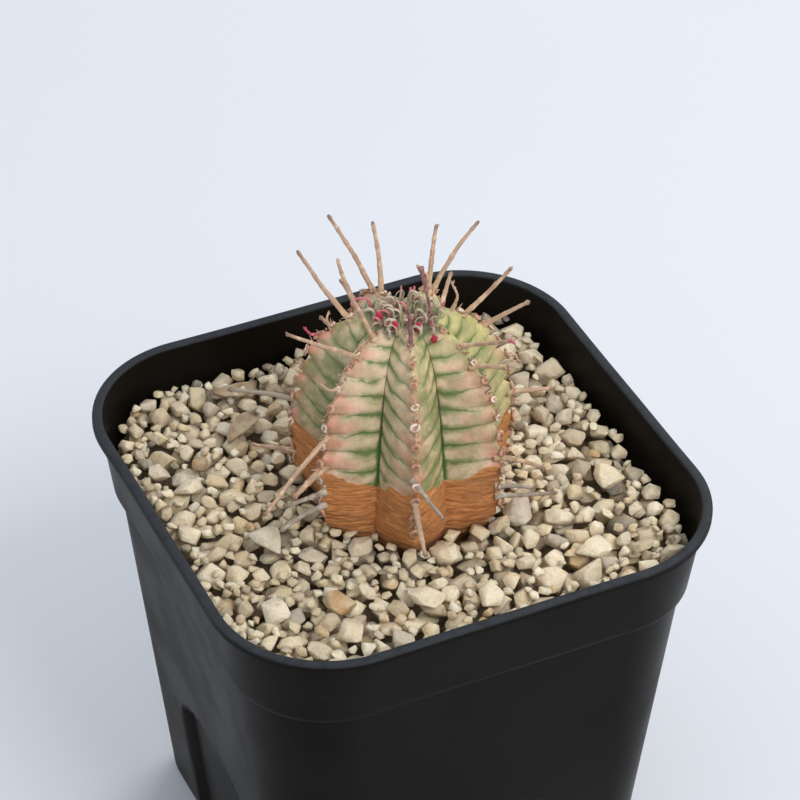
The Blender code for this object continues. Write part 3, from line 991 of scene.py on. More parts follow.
@dataclass
class PotModel:
    """Square nursery pot with a lip, a collar, a step, four foot recesses and drain holes."""

    rim_width_mm: float = RIM_WIDTH_MM
    height_mm: float = POT_HEIGHT_MM
    foot_width_mm: float = 65.0
    rim_corner_mm: float = 21.0
    foot_corner_mm: float = 7.0
    wall_mm: float = 0.8
    floor_mm: float = 1.2
    lip_height_mm: float = 1.3
    lip_round_mm: float = 0.35
    lip_slant_mm: float = 0.2
    collar_height_mm: float = 15.0
    collar_top_half_mm: float = 43.9
    collar_foot_half_mm: float = 41.8
    step_height_mm: float = 1.0
    body_top_half_mm: float = 40.5
    foot_round_mm: float = 0.8
    recess_half_mm: float = 14.5
    recess_shoulder_mm: float = 25.0
    recess_arch_mm: float = 8.0
    recess_depth_mm: float = 1.6
    recess_edge_mm: float = 0.45
    drain_radius_mm: float = 4.0
    drain_ring_mm: float = 20.0
    drain_count: int = 8
    corner_steps: int = 22
    side_steps: int = 62
    bow_mm: float = 0.22

    def outer_half(self, height: float) -> float:
        """Work out the half width of the wall's outside, without the lip.

        Args:
            height: height in millimetres.

        Returns:
            The half width in millimetres.
        """
        collar_foot = self.height_mm - self.collar_height_mm
        body_top = collar_foot - self.step_height_mm
        foot = self.foot_width_mm / 2
        if height <= body_top:
            return foot + (self.body_top_half_mm - foot) * height / body_top
        if height <= collar_foot:
            share = smooth_step(body_top, collar_foot, height)
            widening = self.collar_foot_half_mm - self.body_top_half_mm
            return self.body_top_half_mm + widening * share
        share = (height - collar_foot) / self.collar_height_mm
        widening = self.collar_top_half_mm - self.collar_foot_half_mm
        return self.collar_foot_half_mm + widening * share

    def corner(self, half: float) -> float:
        """Work out the corner radius of the outer wall.

        Args:
            half: the wall's half width in millimetres.

        Returns:
            The radius in millimetres.
        """
        foot = self.foot_width_mm / 2
        share = (half - foot) / (self.rim_width_mm / 2 - foot)
        return self.foot_corner_mm + (self.rim_corner_mm - self.foot_corner_mm) * share

    def recess(self, across: float, height: float, grow: float) -> float:
        """Work out the depth of the foot recess at a place on a wall, in millimetres.

        Args:
            across: distance from the wall's middle.
            height: height of the place.
            grow: how much wider the recess is cut on this side of the wall.

        Returns:
            The depth.
        """
        half = self.recess_half_mm + grow
        arch = self.recess_arch_mm + grow
        up = max(0.0, height - self.recess_shoulder_mm) / arch
        inside = (1.0 - math.hypot(across / half, up)) * half
        edge = self.recess_edge_mm
        return self.recess_depth_mm * smooth_step(-edge, edge, inside)

    def wall_point(self, level: tuple[float, float, float, float], number: int) -> Vector:
        """Place of a vertex of a ring.

        Args:
            level: half width, corner radius and height in millimetres, and how much wider the
                recess is cut there.
            number: the vertex's number round the ring.

        Returns:
            Its place in metres.
        """
        half, radius, height, grow = level
        quarter, step = divmod(number, self.corner_steps + self.side_steps)
        centre = half - radius
        if step < self.corner_steps:
            angle = step / self.corner_steps * math.pi / 2
            x = centre + radius * math.cos(angle)
            y = centre + radius * math.sin(angle)
        else:
            share = (step - self.corner_steps) / self.side_steps
            x = centre * (1 - 2 * share)
            swell = math.sin(math.pi * share) * self.bow_mm
            waver = noise.noise(Vector((x / 26, height / 30, quarter * 7.3)))
            y = half - self.recess(x, height, grow) + (waver - 0.5) * swell
        turned = Matrix.Rotation(quarter * math.pi / 2, 3, "Z") @ Vector((x, y, height))
        return turned * MM

    def levels(self) -> list[tuple[float, float, float, float]]:
        """List the pot's rings from the outer foot over the lip to the inner floor.

        Returns:
            Half width, corner radius, height and recess growth of each ring, in millimetres.
        """
        foot = self.foot_width_mm / 2 - self.foot_round_mm
        rings = []
        for turn in range(5):
            angle = turn / 4 * math.pi / 2
            half = foot + self.foot_round_mm * math.sin(angle)
            rise = self.foot_round_mm * (1 - math.cos(angle))
            rings.append((half, self.foot_corner_mm, rise, 0.0))
        collar_foot = self.height_mm - self.collar_height_mm
        body_top = collar_foot - self.step_height_mm
        under_lip = self.height_mm - self.lip_height_mm
        heights = [1.6 + step for step in range(34)] + [39.0 + 4 * step for step in range(8)]
        heights.append(body_top - 0.7)
        heights += [body_top + step / 5 * self.step_height_mm for step in range(6)]
        heights += [collar_foot + 0.7, 74.0, 77.0, 80.0, 83.0, under_lip - 0.3, under_lip]
        for height in heights:
            half = self.outer_half(height)
            rings.append((half, self.corner(half), height, 0.0))
        rim = self.rim_width_mm / 2
        slant = self.lip_slant_mm
        rings.append((rim - slant, self.rim_corner_mm - slant, under_lip, 0.0))
        rings.append((rim, self.rim_corner_mm, under_lip + slant, 0.0))
        for turn in range(5):
            angle = turn / 4 * math.pi / 2
            drop = self.lip_round_mm * (1 - math.sin(angle))
            inset = self.lip_round_mm * (1 - math.cos(angle))
            rings.append((rim - inset, self.rim_corner_mm - inset, self.height_mm - drop, 0.0))
        inner = self.outer_half(self.height_mm) - self.wall_mm
        for turn in range(4):
            angle = turn / 3 * math.pi / 2
            inset = self.lip_round_mm * (1 - math.sin(angle))
            drop = self.lip_round_mm * (1 - math.cos(angle))
            rings.append((inner + inset, self.corner(inner) + inset, self.height_mm - drop, 0.0))
        heights = [84.5, 82.0, 79.0, 76.0, 73.0, collar_foot, body_top, 60.0, 48.0, 38.0]
        heights += [35.5 - step * 1.5 for step in range(23)] + [self.floor_mm]
        wall = self.wall_mm
        for height in heights:
            half = self.outer_half(height)
            rings.append((half - wall, self.corner(half) - wall, height, wall))
        return rings

    def loft(self, levels: Sequence[tuple[float, float, float, float]]) -> BMesh:
        """Make a closed shell through rings that follow the pot's outline.

        Args:
            levels: half width, corner radius, height and recess growth of each ring.

        Returns:
            The shell.
        """
        bm = bmesh.new()
        count = 4 * (self.corner_steps + self.side_steps)
        edges = start_ring(bm, count, lambda number: self.wall_point(levels[0], number))
        bmesh.ops.contextual_create(bm, geom=edges)
        for level in levels[1:]:
            edges = extrude_ring(bm, edges, lambda number: self.wall_point(level, number))
        bmesh.ops.contextual_create(bm, geom=edges)
        bmesh.ops.recalc_face_normals(bm, faces=bm.faces)
        return bm

    def build(self, material: Material) -> bpy.types.Object:
        """Build the pot.

        Args:
            material: black plastic.

        Returns:
            The pot.
        """
        bm = self.loft(self.levels())
        pot = seat_piece(bm, "nursery_pot", material, ("pot",))
        self.drill(pot)
        pot.data.set_sharp_from_angle(angle=math.radians(38))
        return pot

    def drill(self, pot: bpy.types.Object) -> None:
        """Cut the drain holes through the pot's floor.

        Args:
            pot: the pot.
        """
        bm = bmesh.new()
        for index in range(self.drain_count):
            angle = (index + 0.5) * 2 * math.pi / self.drain_count
            place = Vector((math.cos(angle), math.sin(angle), 0.0)) * self.drain_ring_mm * MM
            bmesh.ops.create_cone(bm, cap_ends=True, segments=32, radius1=self.drain_radius_mm * MM,
                                  radius2=self.drain_radius_mm * MM, depth=4 * self.floor_mm * MM,
                                  matrix=Matrix.Translation(place))
        drills = write_object(bm, "drills")
        cut = pot.modifiers.new("drain_holes", "BOOLEAN")
        cut.operation = "DIFFERENCE"
        cut.solver = "EXACT"
        cut.object = drills
        graph = bpy.context.evaluated_depsgraph_get()
        holed = bpy.data.meshes.new_from_object(pot.evaluated_get(graph))
        pot.modifiers.clear()
        pot.data = holed
        bpy.data.objects.remove(drills)


# ----------------------------------------------------------------------------------------------
# Grit


@dataclass
class Stone:
    """One stone of the bed, in millimetres."""

    place: Vector
    half_size: Vector
    turn: Matrix
    look: tuple[float, float, float]
    master: int


@dataclass
class GritBed:
    """Crushed stones that fill the top of the pot, let down one by one on the ones below."""

    pot: PotModel
    stem_centre_mm: tuple[float, float] = AXIS_MM
    core_low_mm: float = 63.5
    core_middle_mm: float = 68.0
    core_top_mm: float = 74.6
    core_gap_mm: float = 0.3
    masters: int = 30
    cell_mm: float = 0.45
    span_mm: float = 84.0
    lower_stones: int = 480
    upper_stones: int = 900
    chips: int = 900
    lower_widths_mm: tuple[float, float] = (3.2, 6.2)
    upper_widths_mm: tuple[float, float] = (2.7, 6.0)
    chip_widths_mm: tuple[float, float] = (1.3, 2.7)
    stones_per_piece: int = 600
    top_mm: float = 80.6
    seed: int = 11
    stones: list[Stone] = field(default_factory=list)

    def __post_init__(self) -> None:
        """Set up the bed's height field and its stream of chance."""
        self.chance = np.random.default_rng(self.seed)
        cells = int(self.span_mm / self.cell_mm)
        self.axis = (np.arange(cells) + 0.5) * self.cell_mm - self.span_mm / 2
        self.field = np.full((cells, cells), self.core_top_mm)

    def master_stone(self, number: int) -> bpy.types.Mesh:
        """Break a block along planes that face all ways into one crushed stone with worn edges.

        Args:
            number: the stone's number.

        Returns:
            A stone of about unit width.
        """
        source = random.Random(500 + number)
        bm = bmesh.new()
        bmesh.ops.create_cube(bm, size=1.5)
        cuts = source.randint(10, 12)
        for cut in range(cuts):
            rise = 1 - 2 * (cut + 0.5) / cuts
            out = math.sqrt(1 - rise ** 2)
            facing = Vector((math.cos(cut * 2.4) * out, math.sin(cut * 2.4) * out, rise))
            facing = (facing + Vector([source.gauss(0, 0.26) for _ in range(3)])).normalized()
            bmesh.ops.bisect_plane(bm, geom=[*bm.verts, *bm.edges, *bm.faces],
                                   plane_co=facing * source.uniform(0.35, 0.50), plane_no=facing,
                                   clear_outer=True)
            bmesh.ops.holes_fill(bm, edges=bm.edges[:], sides=0)
        bmesh.ops.remove_doubles(bm, verts=bm.verts, dist=0.05)
        bmesh.ops.bevel(bm, geom=bm.edges[:], offset=0.06, segments=1, profile=0.5,
                        affect="EDGES", material=-1, clamp_overlap=True)
        for vert in bm.verts:
            vert.co += noise.noise_vector(vert.co * 3.1 + Vector((number, 0.0, 0.0))) * 0.035
        bmesh.ops.recalc_face_normals(bm, faces=bm.faces)
        LOG.debug("stone %d: %d faces", number, len(bm.faces))
        mesh = bpy.data.meshes.new(f"stone_{number}")
        bm.to_mesh(mesh)
        bm.free()
        return mesh

    def look(self) -> tuple[float, float, float]:
        """Draw a stone's look.

        Returns:
            Its tone, warmth and stain.
        """
        roll = self.chance.random()
        tone = float(np.clip(self.chance.normal(0.72, 0.17), 0.32, 1.0))
        if roll < 0.07:
            tone = float(self.chance.uniform(0.02, 0.28))
        warmth = float(np.clip(self.chance.normal(0.78, 0.22), 0.0, 1.0))
        stain = 0.0
        roll = self.chance.random()
        if roll < 0.05:
            stain = float(self.chance.uniform(0.45, 0.95))
        elif roll < 0.30:
            stain = float(self.chance.uniform(0.08, 0.30))
        return tone, warmth, stain

    def room(self, x: np.ndarray, y: np.ndarray, reach: float) -> np.ndarray:
        """Whether stones of a reach fit at places between the wall and the stem.

        Args:
            x: places across.
            y: places along.
            reach: how far the stones stand out from their middles.

        Returns:
            True where they fit.
        """
        half = self.pot.outer_half(self.core_top_mm - 1) - self.pot.wall_mm
        radius = self.pot.corner(half) - self.pot.wall_mm
        out_x = np.abs(x) - (half - radius)
        out_y = np.abs(y) - (half - radius)
        outside = np.hypot(np.maximum(out_x, 0), np.maximum(out_y, 0)) - radius
        outside += np.minimum(np.maximum(out_x, out_y), 0)
        across = x - self.stem_centre_mm[0]
        along = y - self.stem_centre_mm[1]
        angle = np.arctan2(along, across)
        stem = StemModel.section_radius(angle)
        return (outside < -reach) & (np.hypot(across, along) > stem + reach * 0.72)

    def settle(self, half_size: Vector, tries: int, look: tuple[float, float, float] | None = None,
               at: tuple[float, float] | None = None, sink: float = 0.16) -> None:
        """Let one stone down at the lowest of several chance places.

        Args:
            half_size: the stone's half width, depth and height.
            tries: how many places are compared.
            look: its tone, warmth and stain, or chance ones.
            at: its place, instead of a chance one.
            sink: how far it is pressed into the stones below, as a share of its half height.
        """
        spin = float(self.chance.uniform(0, 2 * math.pi))
        tilt = Vector(self.chance.normal(0, 0.20, 2).tolist() + [0.0])
        turn = Matrix.Rotation(tilt.length, 3, tilt.normalized()) @ Matrix.Rotation(spin, 3, "Z")
        reach = max(half_size.x, half_size.y)
        if at:
            places = [at]
        else:
            x, y = self.chance.uniform(-41, 41, (2, tries * 4))
            fits = self.room(x, y, reach * 1.04)
            places = list(zip(x[fits], y[fits]))[:tries]
        best: tuple | None = None
        for place in places:
            near_x = np.flatnonzero(np.abs(self.axis - place[0]) < reach)
            near_y = np.flatnonzero(np.abs(self.axis - place[1]) < reach)
            if not len(near_x) or not len(near_y):
                continue
            x = self.axis[near_x][:, None] - place[0]
            y = self.axis[near_y][None, :] - place[1]
            across = (x * math.cos(spin) + y * math.sin(spin)) / half_size.x
            along = (y * math.cos(spin) - x * math.sin(spin)) / half_size.y
            square = np.abs(across) ** 2.7 + np.abs(along) ** 2.7
            rise = np.where(square < 1, half_size.z * (1 - square) ** 0.4, 0.0)
            window = np.ix_(near_x, near_y)
            level = np.where(square < 1, self.field[window] + rise, -1.0).max()
            if best is None or level < best[0]:
                best = (level, place, window, rise)
        if best is None:
            return
        level = best[0] - half_size.z * sink
        if not at and level + half_size.z > self.top_mm:
            return
        self.field[best[2]] = np.maximum(self.field[best[2]],
                                         np.where(best[3] > 0, level + best[3], 0.0))
        self.stones.append(Stone(Vector((*best[1], level)), half_size, turn, look or self.look(),
                                 int(self.chance.integers(self.masters))))

    def chance_size(self, low: float, high: float) -> Vector:
        """Draw the half size of a stone.

        Args:
            low: least width in millimetres.
            high: greatest width in millimetres.

        Returns:
            Half its width, depth and height.
        """
        width = float(self.chance.triangular(low, low * 0.6 + high * 0.4, high))
        return Vector((width / 2, width * float(self.chance.uniform(0.66, 0.94)) / 2,
                       width * float(self.chance.uniform(0.50, 0.74)) / 2))

    def fill(self) -> None:
        """Fill the pot from the core up: plain stones, the large ones, then the top and chips."""
        for _ in range(self.lower_stones):
            self.settle(self.chance_size(*self.lower_widths_mm), 7)
        looks = ((0.86, 0.9, 0.0), (0.62, 0.25, 0.12), (0.90, 0.8, 0.0), (0.84, 0.9, 0.0),
                 (0.88, 0.8, 0.0), (0.92, 0.6, 0.0), (0.55, 1.0, 0.85), (0.80, 0.9, 0.1),
                 (0.80, 0.6, 0.0), (0.82, 0.8, 0.0), (0.72, 0.4, 0.0), (0.86, 0.9, 0.0),
                 (0.78, 0.8, 0.2))
        for number, look in enumerate(looks, start=1):
            low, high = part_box(f"pebble_{number:02d}")
            middle = (low + high) / 2 / MM
            size = (high - low) / 2 / MM
            self.settle(Vector((size.x, size.y, size.z)), 1, look, (middle.x, middle.y), 0.7)
        for _ in range(self.upper_stones):
            self.settle(self.chance_size(*self.upper_widths_mm), 9)
        for _ in range(self.chips):
            self.settle(self.chance_size(*self.chip_widths_mm), 16)

    def build(self, grit: Material, dark: Material) -> None:
        """Build the stones and the dark core under them.

        Args:
            grit: the stones' finish.
            dark: the core's finish.
        """
        self.fill()
        meshes = [self.master_stone(number) for number in range(self.masters)]
        spans = [Vector([max(vert.co[axis] for vert in mesh.vertices) -
                         min(vert.co[axis] for vert in mesh.vertices) for axis in range(3)])
                 for mesh in meshes]
        share = self.stones_per_piece
        nodes = ["gravel_layer"] + [f"pebble_{number:02d}" for number in range(1, 14)]
        for part, first in enumerate(range(0, len(self.stones), share)):
            bm = bmesh.new()
            for stone in self.stones[first:first + share]:
                span = spans[stone.master]
                stretch = Matrix.Diagonal([2 * size / width for size, width in
                                           zip(stone.half_size, span)])
                place = Matrix.Translation(stone.place * MM) @ (stone.turn @ stretch).to_4x4()
                copy_into(bm, meshes[stone.master], place @ Matrix.Scale(MM, 4), "grain",
                          (*stone.look, 1.0))
            piece = seat_piece(bm, f"grit_{part + 1}", grit,
                               nodes if part == 0 else (), smooth=True)
            piece.data.set_sharp_from_angle(angle=math.radians(52))
        self.build_core(dark)
        LOG.info("stones: %d, mean top %.2f mm", len(self.stones), float(self.field.mean()))

    def build_core(self, dark: Material) -> None:
        """Build the fine dark grit that shows only between the stones.

        Args:
            dark: its finish.
        """
        levels = []
        inset = self.pot.wall_mm + self.core_gap_mm
        for height in (self.core_low_mm, self.core_middle_mm, self.core_top_mm):
            half = self.pot.outer_half(height)
            levels.append((half - inset, self.pot.corner(half) - inset, height, 0.0))
        seat_piece(self.pot.loft(levels), "grit_core", dark, smooth=False)


# ----------------------------------------------------------------------------------------------
# Stem


@dataclass
class StemModel:
    """Seven-ribbed stem with crenate ribs, tubercles, a corky base and scars."""

    centre_mm: tuple[float, float] = AXIS_MM
    front_rib: float = math.radians(250.5)
    ribs: int = 7
    soil_mm: float = GRIT_TOP_MM
    rib_outline: tuple = ((-22, 0), (-19, 4.5), (-10, 9.5), (-2, 14.3), (5, 18.2), (12.5, 18.8),
                          (20.5, 18.1), (28, 16.4), (34, 12.8), (38, 7.6), (39, 3.2), (37.8, 0))
    valley_outline: tuple = ((-22, 0), (-19, 4.5), (-10, 9.3), (-2, 12.8), (5, 13.6), (12.5, 12.9),
                             (20.5, 11.7), (28, 10.3), (33.6, 8.6), (37.2, 5.8), (38.4, 2.8),
                             (37.8, 0))
    fullness: float = 0.09
    segments_per_rib: int = 40
    rows: int = 250
    buried_share: float = 0.12
    buried_position: float = 0.28
    pitch_mm: float = 3.55
    chevrons_mm: tuple = (-2.4, 3.0, 3.0, 2.6, 2.6, 2.8, 3.1)
    rib_shifts: tuple = (0.10, 0.62, 0.30, 0.80, 0.45, 0.20, 0.72)
    crest_mm: float = 1.15
    pillow_mm: float = 0.40
    jag_mm: float = 0.45
    lump_mm: float = 0.22
    wrinkle_mm: float = 0.30
    cork_swell_mm: float = 0.16
    cork_rag_mm: float = 1.1
    rib_at_grit_mm: float = 16.6
    valley_at_grit_mm: float = 13.4
    groove_at_grit_mm: float = 3.2
    yellows: tuple = ((0.05, 0.50), (0.05, 0.75), (0.85, 0.70), (0.50, 0.40), (0.30, 0.20),
                      (0.10, 0.15), (0.15, 0.0))
    greens: tuple = ((0.58, 1.0), (0.60, 0.75), (0.60, 0.50), (0.50, 0.50), (0.50, 0.50),
                     (0.95, 0.95), (1.0, 0.40))
    cork_mm: float = 11.6
    cork_rise_mm: float = 3.6

    @staticmethod
    def section_radius(angle: np.ndarray) -> np.ndarray:
        """Work out the stem's radius just above the grit.

        Args:
            angle: angles about the stem's middle.

        Returns:
            The radii in millimetres.
        """
        stem = StemModel()
        pitch = 2 * math.pi / stem.ribs
        offset = (angle - stem.front_rib + pitch / 2) % pitch - pitch / 2
        share = np.abs(offset) / (pitch / 2)
        radius = 1 / ((1 - share) / stem.rib_at_grit_mm + share / stem.valley_at_grit_mm)
        return radius + stem.fullness * stem.groove_at_grit_mm * np.sin(np.pi * share)

    def row(self, position: float) -> tuple[float, float, float, float]:
        """Read the outlines.

        Args:
            position: share of the way up them.

        Returns:
            Rib height and radius, and valley height and radius.
        """
        rib_height, rib_radius = curve_at(self.rib_outline, position)
        valley_height, valley_radius = curve_at(self.valley_outline, position)
        return rib_height, max(rib_radius, 0.0), valley_height, max(valley_radius, 0.0)

    def arcs(self) -> tuple[np.ndarray, np.ndarray]:
        """Measure along the rib's edge.

        Returns:
            Positions up it, and the length of the edge up to each.
        """
        positions = np.linspace(0, 1, 801)
        edge = np.array([self.row(float(position))[:2] for position in positions])
        steps = np.hypot(*np.diff(edge, axis=0).T)
        length = np.concatenate(([0.0], np.cumsum(steps)))
        start = np.interp(0.30, positions, length)
        return positions, length - start

    def skin_point(self, position: float, rib: int, offset: float,
                   arc: float) -> tuple[Vector, tuple, tuple]:
        """Place and finish values of a point of the skin.

        Args:
            position: share of the way up the outline.
            rib: number of the nearest rib.
            offset: turn from that rib's edge, from -1 to 1 at the valleys.
            arc: length of the rib's edge up to there.

        Returns:
            The place in metres, the values of "skin" and the values of "tint".
        """
        rib_height, rib_radius, valley_height, valley_radius = self.row(position)
        share = abs(offset)
        edge = 1 - share
        radius = 0.0
        if rib_radius > 0 and valley_radius > 0:
            radius = 1 / ((1 - share) / rib_radius + share / valley_radius)
            radius += self.fullness * (rib_radius - valley_radius) * math.sin(math.pi * share)
        height = rib_height + (valley_height - rib_height) * share
        angle = self.front_rib + (rib + offset / 2) * 2 * math.pi / self.ribs
        band = (arc - self.chevrons_mm[rib] * edge) / self.pitch_mm + self.rib_shifts[rib] * edge
        ragged = noise.noise(Vector((angle * 5.1, height / 2.6, 3.0)))
        ragged += 0.6 * noise.noise(Vector((angle * 17.0, height / 1.1, 8.0)))
        border = self.cork_mm + self.cork_rise_mm * edge + self.cork_rag_mm * ragged
        cork = min(1.0, max(0.0, 0.5 + (border - height) / 8))
        bark = smooth_step(0.46, 0.52, cork)
        pillow = math.sqrt(abs(math.cos(math.pi * band)))
        near_pole = smooth_step(3.0, 9.0, rib_radius)
        fade = near_pole * (1 - 0.55 * bark)
        relief = self.pillow_mm * (pillow - 0.6) * (0.35 + 0.65 * edge) * fade
        relief += self.crest_mm * (pillow - 0.55) * edge ** 5 * fade * 1.4
        jag = noise.noise(Vector((angle * 3.0, height * 1.3, 40.0)))
        relief += self.jag_mm * jag * edge ** 9 * near_pole
        lumps = noise.noise(Vector((angle * 6.0, height / 3.2, 0.0)))
        relief += self.lump_mm * lumps * near_pole
        place = Vector((math.cos(angle), math.sin(angle), 0.0))
        wrinkle = noise.noise(Vector((angle * 5.0, height * 2.3, 20.0)))
        wrinkle += 0.5 * noise.noise(Vector((angle * 11.0, height * 5.0, 30.0)))
        relief += bark * (self.wrinkle_mm * wrinkle + self.cork_swell_mm) * near_pole
        out = radius + relief if radius > 0 else 0.0
        point = place * out
        point += Vector((*self.centre_mm, self.soil_mm + height))
        yellow = self.flank_value(self.yellows[rib], offset)
        yellow += 0.45 * smooth_step(30.0, 36.0, height) * smooth_step(0.0, 0.7, math.cos(
            angle - math.radians(345)))
        yellow += 0.30 * noise.noise(Vector((angle * 2.5, height / 7, 5.0)))
        green = self.flank_value(self.greens[rib], offset)
        return (point * MM, (edge, band / 20, height / 50, 1.0),
                (min(1.0, max(0.0, yellow)), green, cork, 1.0))

    @staticmethod
    def flank_value(pair: tuple[float, float], offset: float) -> float:
        """Ease across a rib's edge from one flank's value to the other's.

        Args:
            pair: the two flanks' values.
            offset: turn from the edge, from -1 to 1 at the valleys.

        Returns:
            The value there.
        """
        return pair[0] + (pair[1] - pair[0]) * smooth_step(-0.34, 0.34, offset)

    def build(self, skin: Material) -> None:
        """Build the stem's skin.

        Args:
            skin: variegated skin.
        """
        bm = bmesh.new()
        segments = self.ribs * self.segments_per_rib
        bmesh.ops.create_uvsphere(bm, u_segments=segments, v_segments=self.rows, radius=1.0)
        skin_layer = bm.verts.layers.float_color.new("skin")
        tint_layer = bm.verts.layers.float_color.new("tint")
        positions, lengths = self.arcs()
        for vert in bm.verts:
            rise = 1 - math.acos(max(-1.0, min(1.0, vert.co.z))) / math.pi
            if rise < self.buried_share:
                position = rise / self.buried_share * self.buried_position
            else:
                above = (rise - self.buried_share) / (1 - self.buried_share)
                position = self.buried_position + above * (1 - self.buried_position)
            turn = math.atan2(vert.co.y, vert.co.x) / (2 * math.pi) * self.ribs
            rib = round(turn)
            offset = (turn - rib) * 2
            offset = math.copysign(0.5 - 0.5 * math.cos(math.pi * min(1.0, abs(offset))), offset)
            arc = float(np.interp(position, positions, lengths))
            vert.co, vert[skin_layer], vert[tint_layer] = self.skin_point(
                position, rib % self.ribs, offset, arc)
        bmesh.ops.recalc_face_normals(bm, faces=bm.faces)
        seat_piece(bm, "ribbed_stem", skin, ("stem",))

    def build_scars(self, finish: Material, crust: Material) -> None:
        """Build the round scars and the crusts down the ribs' edges.

        Args:
            finish: scar finish.
            crust: finish of the stubs and scales beside them.
        """
        crusts = bmesh.new()
        source = random.Random(77)
        positions, lengths = self.arcs()
        bm = bmesh.new()
        layer = bm.verts.layers.float_color.new("scar")
        for rib in range(self.ribs):
            for number in range(-2, 28):
                small = number % 2 == 1
                if small and source.random() < 0.40:
                    continue
                arc = (number / 2 - self.rib_shifts[rib]) * self.pitch_mm + self.chevrons_mm[rib]
                position = float(np.interp(arc, lengths, positions))
                height, radius = self.row(position)[:2]
                if height < 4.0 or radius < 6.5 or position > 0.86:
                    continue
                point = self.skin_point(position, rib, 0.0, arc)[0]
                above = self.skin_point(position + 0.012, rib, 0.0, arc)[0]
                below = self.skin_point(position - 0.012, rib, 0.0, arc)[0]
                angle = self.front_rib + rib * 2 * math.pi / self.ribs
                across = Vector((-math.sin(angle), math.cos(angle), 0.0))
                outward = across.cross(above - below).normalized()
                tone = 0.9 if source.random() < 0.55 else 0.1
                width = source.uniform(0.76, 1.08) * (1.0 if height < 30 else 0.8)
                width *= 0.62 if small else 1.0
                made = bmesh.ops.create_uvsphere(bm, u_segments=16, v_segments=8, radius=1.0)
                fresh = made["verts"]
                for vert in fresh:
                    share = math.hypot(vert.co.x, vert.co.y)
                    vert[layer] = (share, tone, 0.0, 1.0)
                    hollow = 0.30 * smooth_step(0.62, 0.10, share) if vert.co.z > 0 else 0.0
                    vert.co.z -= hollow
                turn = UP.rotation_difference(outward).to_matrix().to_4x4()
                size = Matrix.Diagonal((width * MM, width * 0.86 * MM, 0.36 * MM, 1.0))
                seat = Matrix.Translation(point + outward * 0.02 * MM)
                bmesh.ops.transform(bm, matrix=seat @ turn @ size, verts=fresh)
                if not small:
                    self.add_crust(crusts, source, point, outward, above - below)
        bmesh.ops.recalc_face_normals(bm, faces=bm.faces)
        seat_piece(bm, "rib_scars", finish)
        bmesh.ops.recalc_face_normals(crusts, faces=crusts.faces)
        seat_piece(crusts, "rib_crusts", crust)

    def add_crust(self, crusts: BMesh, source: random.Random, point: Vector,
                  outward: Vector, upward: Vector) -> None:
        """Add the stubs of scales and old stalks beside a scar.

        Args:
            crusts: mesh to add to.
            source: stream of chance.
            point: the scar's place.
            outward: direction away from the stem.
            upward: direction up the rib's edge.
        """
        upward = upward.normalized()
        across = outward.cross(upward)
        for _ in range(source.randint(5, 9)):
            foot = point + (upward * source.uniform(-1.5, 1.5) + across * source.uniform(-0.5, 0.5)
                            - outward * 0.15) * MM
            lean = (outward + upward * source.uniform(-0.9, 0.6)
                    + across * source.uniform(-0.9, 0.9)).normalized()
            bend = Vector([source.uniform(-0.5, 0.5) for _ in range(3)])
            length = source.uniform(0.35, 0.95) * (1.9 if source.random() < 0.14 else 1.0)
            path = [foot + (lean * share + bend * share ** 2 * 0.5) * length * MM
                    for share in (0.0, 0.2, 0.4, 0.6, 0.8, 1.0)]
            girth = source.uniform(0.13, 0.26) * MM
            sweep(crusts, path, [girth * (1.1 - 0.75 * share / 5) for share in range(6)], 6,
                  source.uniform(0.4, 0.9), source.random())


# ----------------------------------------------------------------------------------------------
# Dried stalks, crown and leaves


class StalkTone(Enum):
    """Colour family of a dried stalk."""

    TAN = "tan_stalk"
    GREY = "grey_stalk"
    PURPLE = "purple_stalk"
    CRIMSON = "crimson_stalk"


